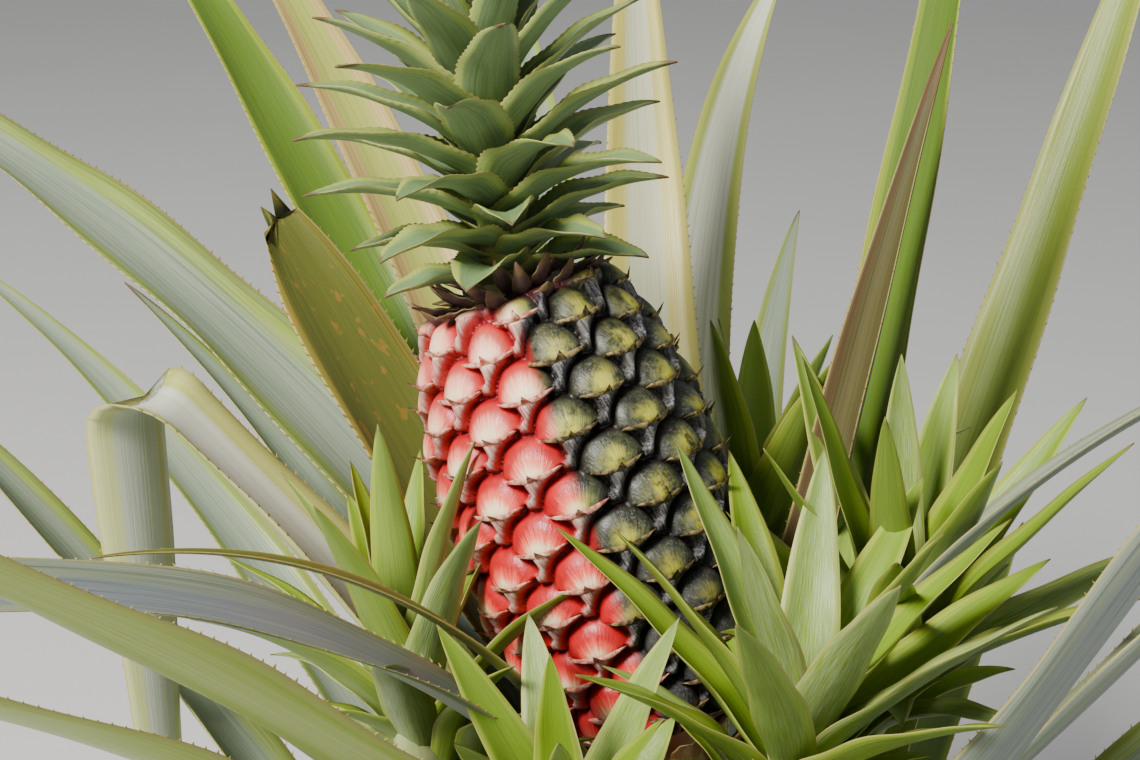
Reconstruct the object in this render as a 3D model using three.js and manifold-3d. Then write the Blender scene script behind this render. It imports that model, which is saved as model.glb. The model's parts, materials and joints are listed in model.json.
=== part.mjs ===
// A pineapple plant in fruit: a short stem sheathed in long channelled leaves, a bracted stalk, a barrel
// fruit of spiral eyes with its leafy crown, and the leafy slips that grow out under the fruit.
// Millimetres, +Z up. The origin is the middle of the flat cut under the stem, at ground level.
import * as THREE from "three";
import { mergeVertices } from "three/addons/utils/BufferGeometryUtils.js";
import Module from "manifold-3d";

const wasm = await Module();
wasm.setup();

// Driving dimensions
const GOLDEN_DEG = 137.508;
const GAP = 0.35;
const SEAT = 0.3;
const STEM = { height: 378, flare: 8, flareHeight: 26, foot: 33, top: 21, sides: 22 };
const STALK = { rise: 13, run: 46.4, foot: 14, top: 16, sides: 14 };
const FRUIT = {
  length: 190,
  radius: 55.5,
  footRadius: 31,
  shoulderRadius: 34,
  leanLeftDeg: 19.5,
  leanBackDeg: 12,
  eyes: 124,
  firstEye: 3,
  eyeTurnDeg: 137.463,
  eyePhaseDeg: 316.9,
  eyeRise: 9,
};
const CROWN = {
  leanLeftDeg: 8,
  leanBackDeg: 4,
  coreHeight: 112,
  coreFoot: 19,
  coreTop: 6,
  leaves: 46,
  reach: 94,
};
const LEAVES = {
  count: 42,
  lowest: 26,
  highest: 366,
  firstAzimuth: 8,
  shortest: 540,
  longest: 780,
  innermost: 430,
  halfWidth: 25,
  baseThick: 3.4,
};

// Small helpers for angles and blends
const rad = THREE.MathUtils.degToRad;
const lerp = THREE.MathUtils.lerp;
const clamp = THREE.MathUtils.clamp;
const smooth = THREE.MathUtils.smoothstep;

// A repeatable stream of numbers from 0 to 1.
function seeded(seed) {
  let state = seed >>> 0;
  return () => {
    state = (state + 0x6d2b79f5) >>> 0;
    let mixed = Math.imul(state ^ (state >>> 15), 1 | state);
    mixed = (mixed + Math.imul(mixed ^ (mixed >>> 7), 61 | mixed)) ^ mixed;
    return ((mixed ^ (mixed >>> 14)) >>> 0) / 4294967296;
  };
}

// Closed geometry from rings of equal size, flat at the first ring and flat or pointed at the last.
function loft(rings, tip = null) {
  const size = rings[0].length;
  const points = rings.flat();
  const faces = [];
  for (let ring = 0; ring < rings.length - 1; ring += 1) {
    for (let i = 0; i < size; i += 1) {
      const a = ring * size + i;
      const b = ring * size + ((i + 1) % size);
      faces.push([a, b, b + size], [a, b + size, a + size]);
    }
  }
  for (let i = 1; i < size - 1; i += 1) faces.push([0, i + 1, i]);
  const last = (rings.length - 1) * size;
  if (tip) {
    points.push(tip);
    for (let i = 0; i < size; i += 1) faces.push([last + i, last + ((i + 1) % size), points.length - 1]);
  } else {
    for (let i = 1; i < size - 1; i += 1) faces.push([last, last + i, last + i + 1]);
  }
  return facing(points, faces);
}

// Indexed geometry whose faces point outwards.
function facing(points, faces) {
  const volume = faces.reduce(
    (sum, [a, b, c]) => sum + points[a].dot(new THREE.Vector3().crossVectors(points[b], points[c])),
    0,
  );
  const outward = volume < 0 ? faces.map(([a, b, c]) => [a, c, b]) : faces;
  const geometry = new THREE.BufferGeometry().setFromPoints(points);
  geometry.setIndex(outward.flat());
  return geometry;
}

// Solids for joining and testing
function solidOf(geometry) {
  const merged = mergeVertices(geometry.clone(), 1e-3);
  return new wasm.Manifold(
    new wasm.Mesh({
      numProp: 3,
      vertProperties: new Float32Array(merged.attributes.position.array),
      triVerts: new Uint32Array(merged.index.array),
    }),
  );
}

function geometryOf(solid) {
  const mesh = solid.getMesh();
  const geometry = new THREE.BufferGeometry();
  geometry.setAttribute("position", new THREE.BufferAttribute(mesh.vertProperties, 3));
  geometry.setIndex(new THREE.BufferAttribute(mesh.triVerts, 1));
  return geometry;
}

// The plant is one group, and each named solid is one mesh in it.
const plant = new THREE.Group();
const placed = [];

function finish(color, roughness) {
  return new THREE.MeshStandardMaterial({ color, roughness, metalness: 0 });
}

function add(name, geometry, material) {
  const mesh = new THREE.Mesh(geometry, material);
  mesh.name = name;
  plant.add(mesh);
  const solid = solidOf(geometry);
  placed.push({ solid, box: solid.boundingBox() });
}

// How far a piece slides along a direction until only the seat's gap is left to what carries it.
function slideToSeat(geometry, direction, carrier) {
  const solid = solidOf(geometry);
  let slide = 0;
  for (let i = 0; i < 4; i += 1) {
    const offset = direction.clone().multiplyScalar(slide);
    slide += solid.translate(offset.x, offset.y, offset.z).minGap(carrier, 12) - SEAT;
  }
  return slide;
}

// The largest body of some joined solids, without the slivers of the joints.
function fused(parts) {
  const bodies = wasm.Manifold.union(parts).simplify(0.1).decompose();
  return geometryOf(bodies.sort((a, b) => b.volume() - a.volume())[0]);
}

// True where the solid keeps clear of every solid placed so far.
function clearOfAll(solid) {
  const box = solid.boundingBox();
  return placed.every((other) => {
    const apart = [0, 1, 2].some((i) => box.min[i] > other.box.max[i] || box.max[i] < other.box.min[i]);
    return apart || solid.intersect(other.solid).volume() < 1e-3;
  });
}

// Stem: a stout upright rod, flared at the ground
function stemRadius(z) {
  const taper = lerp(STEM.foot, STEM.top, Math.pow(clamp(z / STEM.height, 0, 1), 2.2));
  return taper + STEM.flare * Math.exp(-z / STEM.flareHeight);
}

function circle(centre, axis, radius, sides) {
  const turn = new THREE.Quaternion().setFromUnitVectors(new THREE.Vector3(0, 0, 1), axis);
  return Array.from({ length: sides }, (_, i) => {
    const angle = (2 * Math.PI * i) / sides;
    return new THREE.Vector3(radius * Math.cos(angle), radius * Math.sin(angle), 0)
      .applyQuaternion(turn)
      .add(centre);
  });
}

const UP = new THREE.Vector3(0, 0, 1);
const stemRings = [0, 0.03, 0.08, 0.2, 0.45, 0.7, 0.88, 1].map((share) => {
  const z = share * STEM.height;
  return circle(new THREE.Vector3(0, 0, z), UP, stemRadius(z), STEM.sides);
});
const stemGeometry = loft(stemRings);
add("stem", stemGeometry, finish(0x8a7a52, 0.8));
const stemSolid = solidOf(stemGeometry);

// Fruit stalk: rises from the stem and bends into the fruit's lean
function leaning(leftDeg, backDeg) {
  const across = new THREE.Vector3(-Math.sin(rad(leftDeg)), Math.sin(rad(backDeg)), 0);
  return across.setZ(Math.sqrt(1 - across.lengthSq()));
}

const fruitAxis = leaning(FRUIT.leanLeftDeg, FRUIT.leanBackDeg);
const stalkFoot = new THREE.Vector3(0, 0, STEM.height + GAP);
const stalkBend = stalkFoot.clone().addScaledVector(UP, STALK.rise);
const stalkTop = stalkBend.clone().addScaledVector(fruitAxis, STALK.run);
const stalkLine = new THREE.QuadraticBezierCurve3(stalkFoot, stalkBend, stalkTop);

function stalkRadius(share) {
  return lerp(STALK.foot, STALK.top, share);
}

const stalkRings = [0, 0.2, 0.4, 0.7, 1].map((share) =>
  circle(stalkLine.getPoint(share), stalkLine.getTangent(share), stalkRadius(share), STALK.sides),
);
const stalkGeometry = loft(stalkRings);
add("fruit_stalk", stalkGeometry, finish(0x9aa05c, 0.7));
const stalkSolid = solidOf(stalkGeometry);

// Fruit: eyes on a spiral lattice, where the neighbours of an eye are 8 and 13 places up or down
const fruitBase = stalkTop.clone().addScaledVector(fruitAxis, GAP);
const fruitFrame = new THREE.Quaternion().setFromUnitVectors(UP, fruitAxis);
const EYE_REACH = { eight: 4, thirteen: 6.5 };
const EYE_PLACES = FRUIT.eyes - 1 + 2 * (EYE_REACH.eight + EYE_REACH.thirteen);

// A point of the skin, by its share of the way up, its azimuth and its rise above the grooves.
function fruitPoint(share, azimuth, rise) {
  const along = 2 * share - 1;
  const endRadius = along < 0 ? FRUIT.footRadius : FRUIT.shoulderRadius;
  const radius = lerp(FRUIT.radius, endRadius, Math.pow(Math.abs(along), 2.3));
  const tilt = rad(-62) * Math.sign(along) * Math.pow(Math.abs(along), 6);
  const height = FRUIT.length * (0.5 + 0.5 * (1.06 * along - 0.06 * along * along * along));
  const out = radius + rise * Math.cos(tilt);
  const up = clamp(height - rise * Math.sin(tilt), 0, FRUIT.length);
  return new THREE.Vector3(out * Math.cos(azimuth), out * Math.sin(azimuth), up)
    .applyQuaternion(fruitFrame)
    .add(fruitBase);
}

function fruitSolid() {
  const turn = (steps) => THREE.MathUtils.euclideanModulo(steps * FRUIT.eyeTurnDeg + 180, 360) - 180;
  const points = [];
  const faces = [];
  const known = new Map();
  const vertex = (eye, a, b, rise) => {
    const place = eye + EYE_REACH.thirteen * a + EYE_REACH.eight * b;
    const key = `${place.toFixed(2)}:${rise}`;
    if (!known.has(key)) {
      const share = (place + EYE_REACH.thirteen + EYE_REACH.eight) / EYE_PLACES;
      const ownTurn = FRUIT.eyePhaseDeg + FRUIT.eyeTurnDeg * (eye + FRUIT.firstEye);
      const azimuth = rad(ownTurn + 0.5 * (turn(13) * a + turn(8) * b));
      known.set(key, points.length);
      points.push(fruitPoint(share, azimuth, rise));
    }
    return known.get(key);
  };
  const corners = [
    [1, 1],
    [1, -1],
    [-1, -1],
    [-1, 1],
  ];
  for (let eye = 0; eye < FRUIT.eyes; eye += 1) {
    const peak = vertex(eye, -0.1, -0.1, FRUIT.eyeRise);
    const outer = corners.map(([a, b]) => vertex(eye, a, b, 0));
    const inner = corners.map(([a, b]) => vertex(eye, a * 0.58, b * 0.58, FRUIT.eyeRise * 0.6));
    corners.forEach((_, i) => {
      const next = (i + 1) % corners.length;
      faces.push([outer[i], outer[next], inner[next]], [outer[i], inner[next], inner[i]]);
      faces.push([inner[i], inner[next], peak]);
    });
  }
  closeEnds(points, faces);
  return facing(points, faces);
}

// Fans the open rims at the fruit's foot and shoulder in to the axis.
function closeEnds(points, faces) {
  const edges = new Set(faces.flatMap(([a, b, c]) => [`${a}:${b}`, `${b}:${c}`, `${c}:${a}`]));
  const poles = [0, FRUIT.length].map((height) => {
    points.push(fruitBase.clone().addScaledVector(fruitAxis, height));
    return points.length - 1;
  });
  const middle = fruitBase.dot(fruitAxis) + FRUIT.length / 2;
  for (const edge of edges) {
    const [a, b] = edge.split(":").map(Number);
    if (edges.has(`${b}:${a}`)) continue;
    faces.push([b, a, points[a].dot(fruitAxis) < middle ? poles[0] : poles[1]]);
  }
}
add("fruit", fruitSolid(), finish(0xb8483a, 0.6));

// A blade: a tapering channelled leaf. Its line leans out by an angle from upright that goes from start to
// end, and may fold down at a crest and swing round there. Its edges rise towards the upper side.
const BLADE_STEPS = 120;

function bladeLean(spec, share) {
  const lean = lerp(spec.start, spec.end, Math.pow(share, spec.bend ?? 1.2));
  return spec.fold ? lerp(lean, spec.fold.lean, smooth(share, spec.fold.from, spec.fold.to)) : lean;
}

function bladeLine(spec) {
  const line = [];
  const point = spec.from.clone();
  for (let i = 0; i <= BLADE_STEPS; i += 1) {
    const share = i / BLADE_STEPS;
    const lean = rad(bladeLean(spec, share));
    const swung = spec.fold ? spec.fold.turn * smooth(share, spec.fold.from, spec.fold.to) : 0;
    const azimuth = rad(spec.azimuth + swung + (spec.sweep ?? 0) * share * share);
    const outward = new THREE.Vector3(Math.cos(azimuth), Math.sin(azimuth), 0);
    const along = outward.clone().multiplyScalar(Math.sin(lean)).setZ(Math.cos(lean));
    const side = new THREE.Vector3(-outward.y, outward.x, 0);
    side.applyAxisAngle(along, rad((spec.roll ?? 0) * share));
    line.push({ point: point.clone(), along, side });
    point.addScaledVector(along, spec.length / BLADE_STEPS);
  }
  return line;
}

function bladeFrame(line, share) {
  const place = Math.min(share * BLADE_STEPS, BLADE_STEPS - 1e-6);
  const [low, high] = [line[Math.floor(place)], line[Math.floor(place) + 1]];
  const part = place - Math.floor(place);
  const point = low.point.clone().lerp(high.point, part);
  const along = low.along.clone().lerp(high.along, part).normalize();
  const side = low.side.clone().lerp(high.side, part).normalize();
  return { share, point, side, upper: along.clone().cross(side) };
}

// Half width, curl and thickness of a blade at a share of its length. Its root is narrow.
const ROOT_SHARE = 0.5;

function bladeShape(spec, share) {
  const taper = Math.pow(1 - Math.pow(share, spec.taper ?? 1.9), 0.85);
  const curl = lerp(spec.curlBase ?? 50, spec.curlTip ?? 34, share);
  const stout = lerp(spec.baseThick, spec.length / 90, smooth(share, 0, 0.2));
  return {
    half: spec.halfWidth * lerp(ROOT_SHARE, 1, smooth(share, 0, 0.3)) * Math.max(taper, 0.02),
    curl: rad(lerp(spec.curlRoot ?? curl, curl, smooth(share, 0, 0.15))),
    thick: stout * lerp(1, 0.45, share),
  };
}

// The ring of a blade: the upper side's points from edge to edge, then the under side's back.
function bladeRing(spec, frame, across) {
  const { half, curl, thick } = bladeShape(spec, frame.share);
  const radius = half / curl;
  const at = (u, depth) =>
    frame.point
      .clone()
      .addScaledVector(frame.side, (radius + depth) * Math.sin(u * curl))
      .addScaledVector(frame.upper, radius - (radius + depth) * Math.cos(u * curl));
  const upper = Array.from({ length: across + 1 }, (_, i) => at((2 * i) / across - 1, 0));
  const under = Array.from({ length: across - 1 }, (_, i) => {
    const u = 1 - (2 * (i + 1)) / across;
    return at(u, thick * (1 - 0.55 * u * u));
  });
  return [...upper, ...under];
}

function bladeSolid(spec, stations, across) {
  const line = bladeLine(spec);
  const end = spec.tornAt ?? 1;
  const shares = stations.filter((share) => share < end);
  const pointed = stations.at(-1) === 1 && end === 1;
  if (end < 1) shares.push(end);
  const rings = shares.map((share) => bladeRing(spec, bladeFrame(line, share), across));
  return loft(rings, pointed ? bladeFrame(line, 1).point : null);
}

// Long leaves: each clasps the stem, a golden angle on from the one below. The middle ones are longest,
// and the inner ones stand more upright. The whole rosette lies lower at the front.
const FRONT_DROOP = { start: 17, end: 14 };

// What sets single leaves apart, by their rank on the stem from 0 at the ground.
const SINGLE_LEAVES = {
  2: { azimuth: 278, height: 43, start: 78, end: 110, bend: 1.18 },
  9: { azimuth: 164, height: 100, start: 27, end: 51, bend: 1.16, length: 640, taper: 2.6 },
  12: { azimuth: 221, height: 125, start: 45, end: 84, bend: 1.09 },
  16: { azimuth: 47, height: 175, start: 26, end: 29, bend: 1.09, length: 700, taper: 2.6 },
  17: {
    azimuth: 173,
    height: 314,
    start: 32,
    end: 58,
    bend: 1.12,
    length: 620,
    halfWidth: 29,
    fold: { from: 0.5, to: 0.56, lean: 181, turn: -38 },
  },
  20: {
    azimuth: 226,
    height: 265,
    start: 35,
    end: 71,
    bend: 1.48,
    length: 640,
    roll: 24,
    halfWidth: 28,
    curlBase: 42,
    curlTip: 24,
    taper: 2.6,
  },
  22: {
    azimuth: 144,
    height: 342,
    start: 32,
    end: 86,
    bend: 0.72,
    length: 720,
    halfWidth: 33,
    curlBase: 46,
    curlTip: 24,
    taper: 3.2,
  },
  24: {
    azimuth: 91,
    height: 237,
    start: 36,
    end: 67,
    bend: 1,
    length: 690,
    sweep: -26,
    halfWidth: 24,
    taper: 3.2,
  },
  25: {
    azimuth: 221,
    height: 335,
    start: 21,
    end: 92,
    bend: 0.99,
    length: 560,
    roll: -24,
    halfWidth: 21,
    curlBase: 42,
    curlTip: 22,
    taper: 2.6,
  },
  27: { azimuth: 126, height: 302, start: 38, end: 66, bend: 1.04, length: 680, halfWidth: 27, taper: 2.8 },
  29: { azimuth: 47, height: 277, start: 19, end: 7, bend: 1.07, length: 600 },
  30: { azimuth: 145, height: 272, start: 34, end: 58, bend: 1.3, length: 420, halfWidth: 22, taper: 2.4 },
  31: { azimuth: 308, height: 275, start: 32, end: 24, bend: 1.14, length: 540, halfWidth: 26 },
  32: {
    azimuth: 95,
    height: 261,
    start: 38,
    end: 37,
    bend: 1.06,
    length: 600,
    halfWidth: 29,
    curlBase: 42,
    curlTip: 24,
    taper: 3,
  },
  33: {
    azimuth: 235,
    height: 295,
    start: 36,
    end: 57,
    bend: 1.32,
    length: 620,
    roll: 24,
    halfWidth: 31,
    curlBase: 38,
    curlTip: 20,
    taper: 2.6,
  },
  34: { azimuth: 341, height: 353, start: 10, end: 80, bend: 1.09, length: 470, halfWidth: 13 },
  35: {
    azimuth: 143,
    height: 366,
    start: 43,
    end: 42,
    bend: 1.23,
    length: 350,
    halfWidth: 30,
    curlBase: 42,
    curlTip: 24,
    taper: 6,
    tornAt: 0.93,
  },
  36: { azimuth: 272, height: 322, start: 51, end: 79, bend: 1.09 },
  37: {
    azimuth: 40,
    height: 326,
    start: 11,
    end: 19,
    bend: 1.13,
    length: 400,
    halfWidth: 20,
    curlBase: 62,
    curlTip: 78,
  },
  38: { azimuth: 213, height: 363, start: 24, end: 85, bend: 1.65, length: 330, halfWidth: 9 },
  39: { azimuth: 335, height: 313, start: 39, end: 27, bend: 1.11, length: 480, halfWidth: 24 },
  40: { azimuth: 121, height: 322, start: 35, end: 64, bend: 0.96, length: 640, halfWidth: 24, taper: 3 },
  41: { azimuth: 269, height: 368, start: 53, end: 81, bend: 1.09 },
};

const LEAF_STATIONS = [0, 0.06, 0.16, 0.3, 0.45, 0.6, 0.75, 0.89, 1];

function leafSpec(rank) {
  const random = seeded(4021 + rank * 77);
  const share = rank / (LEAVES.count - 1);
  const azimuth = LEAVES.firstAzimuth + GOLDEN_DEG * rank + (random() - 0.5) * 6;
  const front = -Math.sin(rad(azimuth));
  const middle = 0.42;
  const length =
    share < middle
      ? lerp(LEAVES.shortest, LEAVES.longest, share / middle)
      : lerp(LEAVES.longest, LEAVES.innermost, (share - middle) / (1 - middle));
  const spec = {
    rank,
    azimuth,
    height: lerp(LEAVES.lowest, LEAVES.highest, share),
    length: length * (0.96 + 0.08 * random()),
    start: lerp(62, 34, share) + FRONT_DROOP.start * front,
    end: lerp(104, 62, share) + FRONT_DROOP.end * front + (random() - 0.5) * 8,
    sweep: (random() - 0.5) * 12,
    roll: (random() - 0.5) * 22,
    halfWidth: LEAVES.halfWidth,
    baseThick: LEAVES.baseThick,
    ...SINGLE_LEAVES[rank],
  };
  const clasp = stemRadius(spec.height) + 1.3;
  const inward = new THREE.Vector3(-Math.cos(rad(spec.azimuth)), -Math.sin(rad(spec.azimuth)), 0);
  spec.from = inward.clone().multiplyScalar(-clasp).setZ(spec.height);
  spec.curlRoot = THREE.MathUtils.radToDeg((spec.halfWidth * ROOT_SHARE) / (clasp + 3));
  const root = bladeSolid(spec, LEAF_STATIONS.slice(0, 4), 4);
  spec.from.addScaledVector(inward, slideToSeat(root, inward, stemSolid));
  return spec;
}

const leafFinish = finish(0x8fa35a, 0.55);

function addLeaf(spec) {
  const name = `leaf_${String(spec.rank + 1).padStart(2, "0")}`;
  if (!spec.fold) {
    add(name, bladeSolid(spec, LEAF_STATIONS, 4), leafFinish);
    return;
  }
  const { from, to } = spec.fold;
  const crest = (from + to) / 2;
  const near = GAP / 2 / spec.length;
  const before = LEAF_STATIONS.filter((share) => share < from - 0.02);
  const after = LEAF_STATIONS.filter((share) => share > to + 0.02);
  const rise = [...before, from, lerp(from, crest, 0.5), crest - near];
  const hang = [crest + near, lerp(crest, to, 0.5), to, ...after];
  add(`${name}_rise`, bladeSolid(spec, rise, 4), leafFinish);
  add(`${name}_hang`, bladeSolid(spec, hang, 4), leafFinish);
}

for (let rank = 0; rank < LEAVES.count; rank += 1) addLeaf(leafSpec(rank));

// A tuft: a tapering core with short leaves round it by the golden angle, joined to one solid. Its leaves
// start on the core between a foot and a head. A leaf that would touch another solid is left out.
const TUFT_STATIONS = [0, 0.36, 0.72, 1];

function tuftSolid(tuft) {
  const random = seeded(tuft.seed);
  const rings = tuft.core.map(({ point, axis, radius }) => circle(point, axis, radius, 8));
  const parts = [solidOf(loft(rings))];
  const foot = tuft.core.at(tuft.foot);
  const head = tuft.core.at(-1);
  const frame = new THREE.Quaternion().setFromUnitVectors(UP, foot.axis);
  for (let i = 0; i < tuft.leaves; i += 1) {
    const share = i / (tuft.leaves - 1);
    const azimuth = tuft.turn + tuft.hand * GOLDEN_DEG * i;
    const radius = lerp(foot.radius, head.radius, share) * 0.35;
    const from = new THREE.Vector3(Math.cos(rad(azimuth)), Math.sin(rad(azimuth)), 0).multiplyScalar(radius);
    const spec = { azimuth, from, ...tuft.leaf(share, random) };
    const geometry = bladeSolid(spec, TUFT_STATIONS, 2);
    const at = foot.point.clone().lerp(head.point, share * 0.92);
    geometry.applyQuaternion(frame).translate(at.x, at.y, at.z);
    const solid = solidOf(geometry);
    if (clearOfAll(solid)) parts.push(solid);
  }
  return fused(parts);
}

// Crown: stiff, broad, spiny leaves on a short core that stands more upright than the fruit
const crownAxis = leaning(CROWN.leanLeftDeg, CROWN.leanBackDeg);
const crownFoot = fruitBase.clone().addScaledVector(fruitAxis, FRUIT.length + 4.2);

function crownLeaf(share, random) {
  const rising = lerp(56, CROWN.reach, share / 0.4);
  const length = share < 0.4 ? rising : lerp(CROWN.reach, 80, (share - 0.4) / 0.6);
  return {
    length: length * (0.94 + 0.12 * random()),
    start: lerp(64, 10, Math.pow(share, 0.8)),
    end: lerp(106, 26, Math.pow(share, 1.2)) + (random() - 0.5) * 10,
    halfWidth: lerp(17, 13, share),
    curlBase: 52,
    curlTip: 32,
    baseThick: 2.4,
    taper: 1.6,
  };
}

const crownCore = [0, 0.5, 1].map((share) => ({
  point: crownFoot.clone().addScaledVector(crownAxis, share * CROWN.coreHeight),
  axis: crownAxis,
  radius: lerp(CROWN.coreFoot, CROWN.coreTop, share),
}));
const crown = {
  seed: 88,
  leaves: CROWN.leaves,
  turn: 205,
  hand: 1,
  core: crownCore,
  foot: 0,
  leaf: crownLeaf,
};
add("crown", tuftSolid(crown), finish(0x6d8470, 0.6));

// Slips: leafy side shoots, each on a short curved stalk from just under the fruit
const SLIP = { stalk: 5.5, neck: 8, head: 4, halfWidth: 15 };
const SLIPS = [
  {
    name: "slip_front_right",
    root: { share: 0.72, azimuth: -62 },
    neck: new THREE.Vector3(27, -75, 449),
    axis: { lean: 9, azimuth: 40 },
    core: 24,
    turn: 214,
    leaves: 16,
    reach: 137,
    outer: [47, 69],
    inner: [22, 28],
  },
  {
    name: "slip_right",
    root: { share: 0.5, azimuth: 0 },
    neck: new THREE.Vector3(75, 12, 440),
    axis: { lean: 6, azimuth: 291 },
    core: 24,
    turn: 3,
    leaves: 16,
    reach: 153,
    outer: [48, 62],
    inner: [10, 14],
  },
  {
    name: "slip_left",
    root: { share: 0.62, azimuth: 200 },
    neck: new THREE.Vector3(-112, -50, 450),
    axis: { lean: 30, azimuth: 110 },
    core: 36,
    turn: 271,
    leaves: 15,
    reach: 112,
    outer: [44, 96],
    inner: [6, 10],
  },
  {
    name: "slip_front_left",
    root: { share: 0.42, azimuth: 258 },
    neck: new THREE.Vector3(-52, -94, 424),
    axis: { lean: 24, azimuth: 250 },
    core: 22,
    turn: 96,
    leaves: 10,
    reach: 112,
    outer: [40, 70],
    inner: [8, 14],
  },
  {
    name: "slip_back",
    root: { share: 0.7, azimuth: 72 },
    neck: new THREE.Vector3(22, 92, 446),
    axis: { lean: 22, azimuth: 75 },
    core: 24,
    turn: 30,
    leaves: 13,
    reach: 132,
    outer: [46, 76],
    inner: [10, 16],
  },
];

function slipLeaf(slip) {
  const swell = (share) => 0.82 + 0.18 * Math.sin(Math.PI * Math.min(1, share + 0.2));
  return (share, random) => ({
    length: slip.reach * swell(share) * (0.95 + 0.1 * random()),
    start: lerp(slip.outer[0], slip.inner[0], share),
    end: lerp(slip.outer[1], slip.inner[1], share),
    halfWidth: SLIP.halfWidth * (0.92 + 0.16 * random()),
    curlBase: 50,
    curlTip: 26,
    baseThick: 2.4,
    taper: 1.5,
  });
}

function addSlip(slip, index) {
  const out = new THREE.Vector3(Math.cos(rad(slip.root.azimuth)), Math.sin(rad(slip.root.azimuth)), 0);
  const start = stalkLine.getPoint(slip.root.share).addScaledVector(out, stalkRadius(slip.root.share) + 3);
  const stub = [0, 6].map((along) => circle(start.clone().addScaledVector(out, along), out, SLIP.stalk, 8));
  start.addScaledVector(out, -slideToSeat(loft(stub), out.clone().negate(), stalkSolid));
  const tilt = rad(slip.axis.lean);
  const away = rad(slip.axis.azimuth);
  const axis = new THREE.Vector3(Math.cos(away), Math.sin(away), 0)
    .multiplyScalar(Math.sin(tilt))
    .setZ(Math.cos(tilt));
  const span = slip.neck.clone().sub(start);
  const level = span.clone().setZ(0).normalize();
  const elbow = start.clone().addScaledVector(span, 0.62).setZ(lerp(start.z, slip.neck.z, 0.25));
  const core = [
    { point: start, axis: out, radius: SLIP.stalk },
    { point: elbow, axis: level, radius: SLIP.stalk },
    { point: slip.neck, axis, radius: SLIP.neck },
    { point: slip.neck.clone().addScaledVector(axis, slip.core), axis, radius: SLIP.head },
  ];
  const { turn, leaves } = slip;
  const tuft = { seed: 500 + index, turn, leaves, hand: -1, core, foot: 2, leaf: slipLeaf(slip) };
  add(slip.name, tuftSolid(tuft), finish(0xa3bf4f, 0.5));
}
SLIPS.forEach(addSlip);

export default plant;
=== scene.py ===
# A pineapple plant in fruit: a short stem sheathed in long channelled leaves, a stalk that carries the
# two-toned fruit with its leafy crown, and leafy slips under the fruit. Metres; +Z up; -Y is the front.
import json
import math

import bpy
import numpy as np
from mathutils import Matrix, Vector

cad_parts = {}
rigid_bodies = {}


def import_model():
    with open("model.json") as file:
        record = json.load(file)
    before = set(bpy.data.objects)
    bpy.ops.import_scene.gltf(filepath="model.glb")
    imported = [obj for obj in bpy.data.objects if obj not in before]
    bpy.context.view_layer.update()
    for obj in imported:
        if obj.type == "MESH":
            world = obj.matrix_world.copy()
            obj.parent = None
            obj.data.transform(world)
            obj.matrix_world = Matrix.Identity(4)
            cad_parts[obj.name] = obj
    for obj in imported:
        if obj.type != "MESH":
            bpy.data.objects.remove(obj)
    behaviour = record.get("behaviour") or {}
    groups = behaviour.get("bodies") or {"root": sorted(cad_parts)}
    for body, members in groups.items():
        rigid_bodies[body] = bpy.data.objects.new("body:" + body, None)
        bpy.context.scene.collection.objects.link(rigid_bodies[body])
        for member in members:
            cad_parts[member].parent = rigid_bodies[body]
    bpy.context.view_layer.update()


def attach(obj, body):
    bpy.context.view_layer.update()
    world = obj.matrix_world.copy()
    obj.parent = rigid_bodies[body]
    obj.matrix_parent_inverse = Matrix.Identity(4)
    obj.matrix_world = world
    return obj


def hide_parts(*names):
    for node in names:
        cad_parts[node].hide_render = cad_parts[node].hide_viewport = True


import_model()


# Floor, light and camera: a pale level floor, a soft lamp high on the left and a larger, weaker one on the
# right. The camera looks down on the fruit from the front, from a little under a metre away.
class Flow:
    """What a node puts out, to reckon with: a sum or a product of it adds a Math node to its tree."""

    def __init__(self, tree, socket):
        self.tree = tree
        self.socket = socket

    def __add__(self, other):
        return calc("ADD", self, other)

    def __sub__(self, other):
        return calc("SUBTRACT", self, other)

    def __rsub__(self, other):
        return calc("SUBTRACT", other, self)

    def __mul__(self, other):
        return calc("MULTIPLY", self, other)

    def __truediv__(self, other):
        return calc("DIVIDE", self, other)

    def __mod__(self, other):
        return calc("MODULO", self, other)

    def __pow__(self, other):
        return calc("POWER", self, other)


def give(socket, value):
    """Links an input to what another node puts out, or sets it."""
    if isinstance(value, Flow):
        value.tree.links.new(value.socket, socket)
    elif value is not None:
        socket.default_value = value


def wire(tree, kind, values=(), out=0, **settings):
    """Adds a node, sets or links its inputs, and gives back one of its outputs."""
    node = tree.nodes.new(kind)
    for name, value in settings.items():
        setattr(node, name, value)
    for place, value in values.items() if isinstance(values, dict) else enumerate(values):
        give(node.inputs[place], value)
    return Flow(tree, node.outputs[out])


def calc(operation, *values):
    tree = next(value.tree for value in values if isinstance(value, Flow))
    return wire(tree, "ShaderNodeMath", values, operation=operation)


def tint(share, first, second):
    first, second = ((*colour, 1) if isinstance(colour, tuple) else colour for colour in (first, second))
    return wire(share.tree, "ShaderNodeMix", {0: share, 6: first, 7: second}, out=2, data_type="RGBA")


def noise(vector, scale, detail=3.0, roughness=0.55):
    values = {"Vector": vector, "Scale": scale, "Detail": detail, "Roughness": roughness}
    return wire(vector.tree, "ShaderNodeTexNoise", values)


def new_finish(name):
    """An empty material and its shader."""
    material = bpy.data.materials.new(name)
    material.use_nodes = True
    return material, material.node_tree.nodes["Principled BSDF"]


def on_object(material):
    return wire(material.node_tree, "ShaderNodeTexCoord", out=3)


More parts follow.
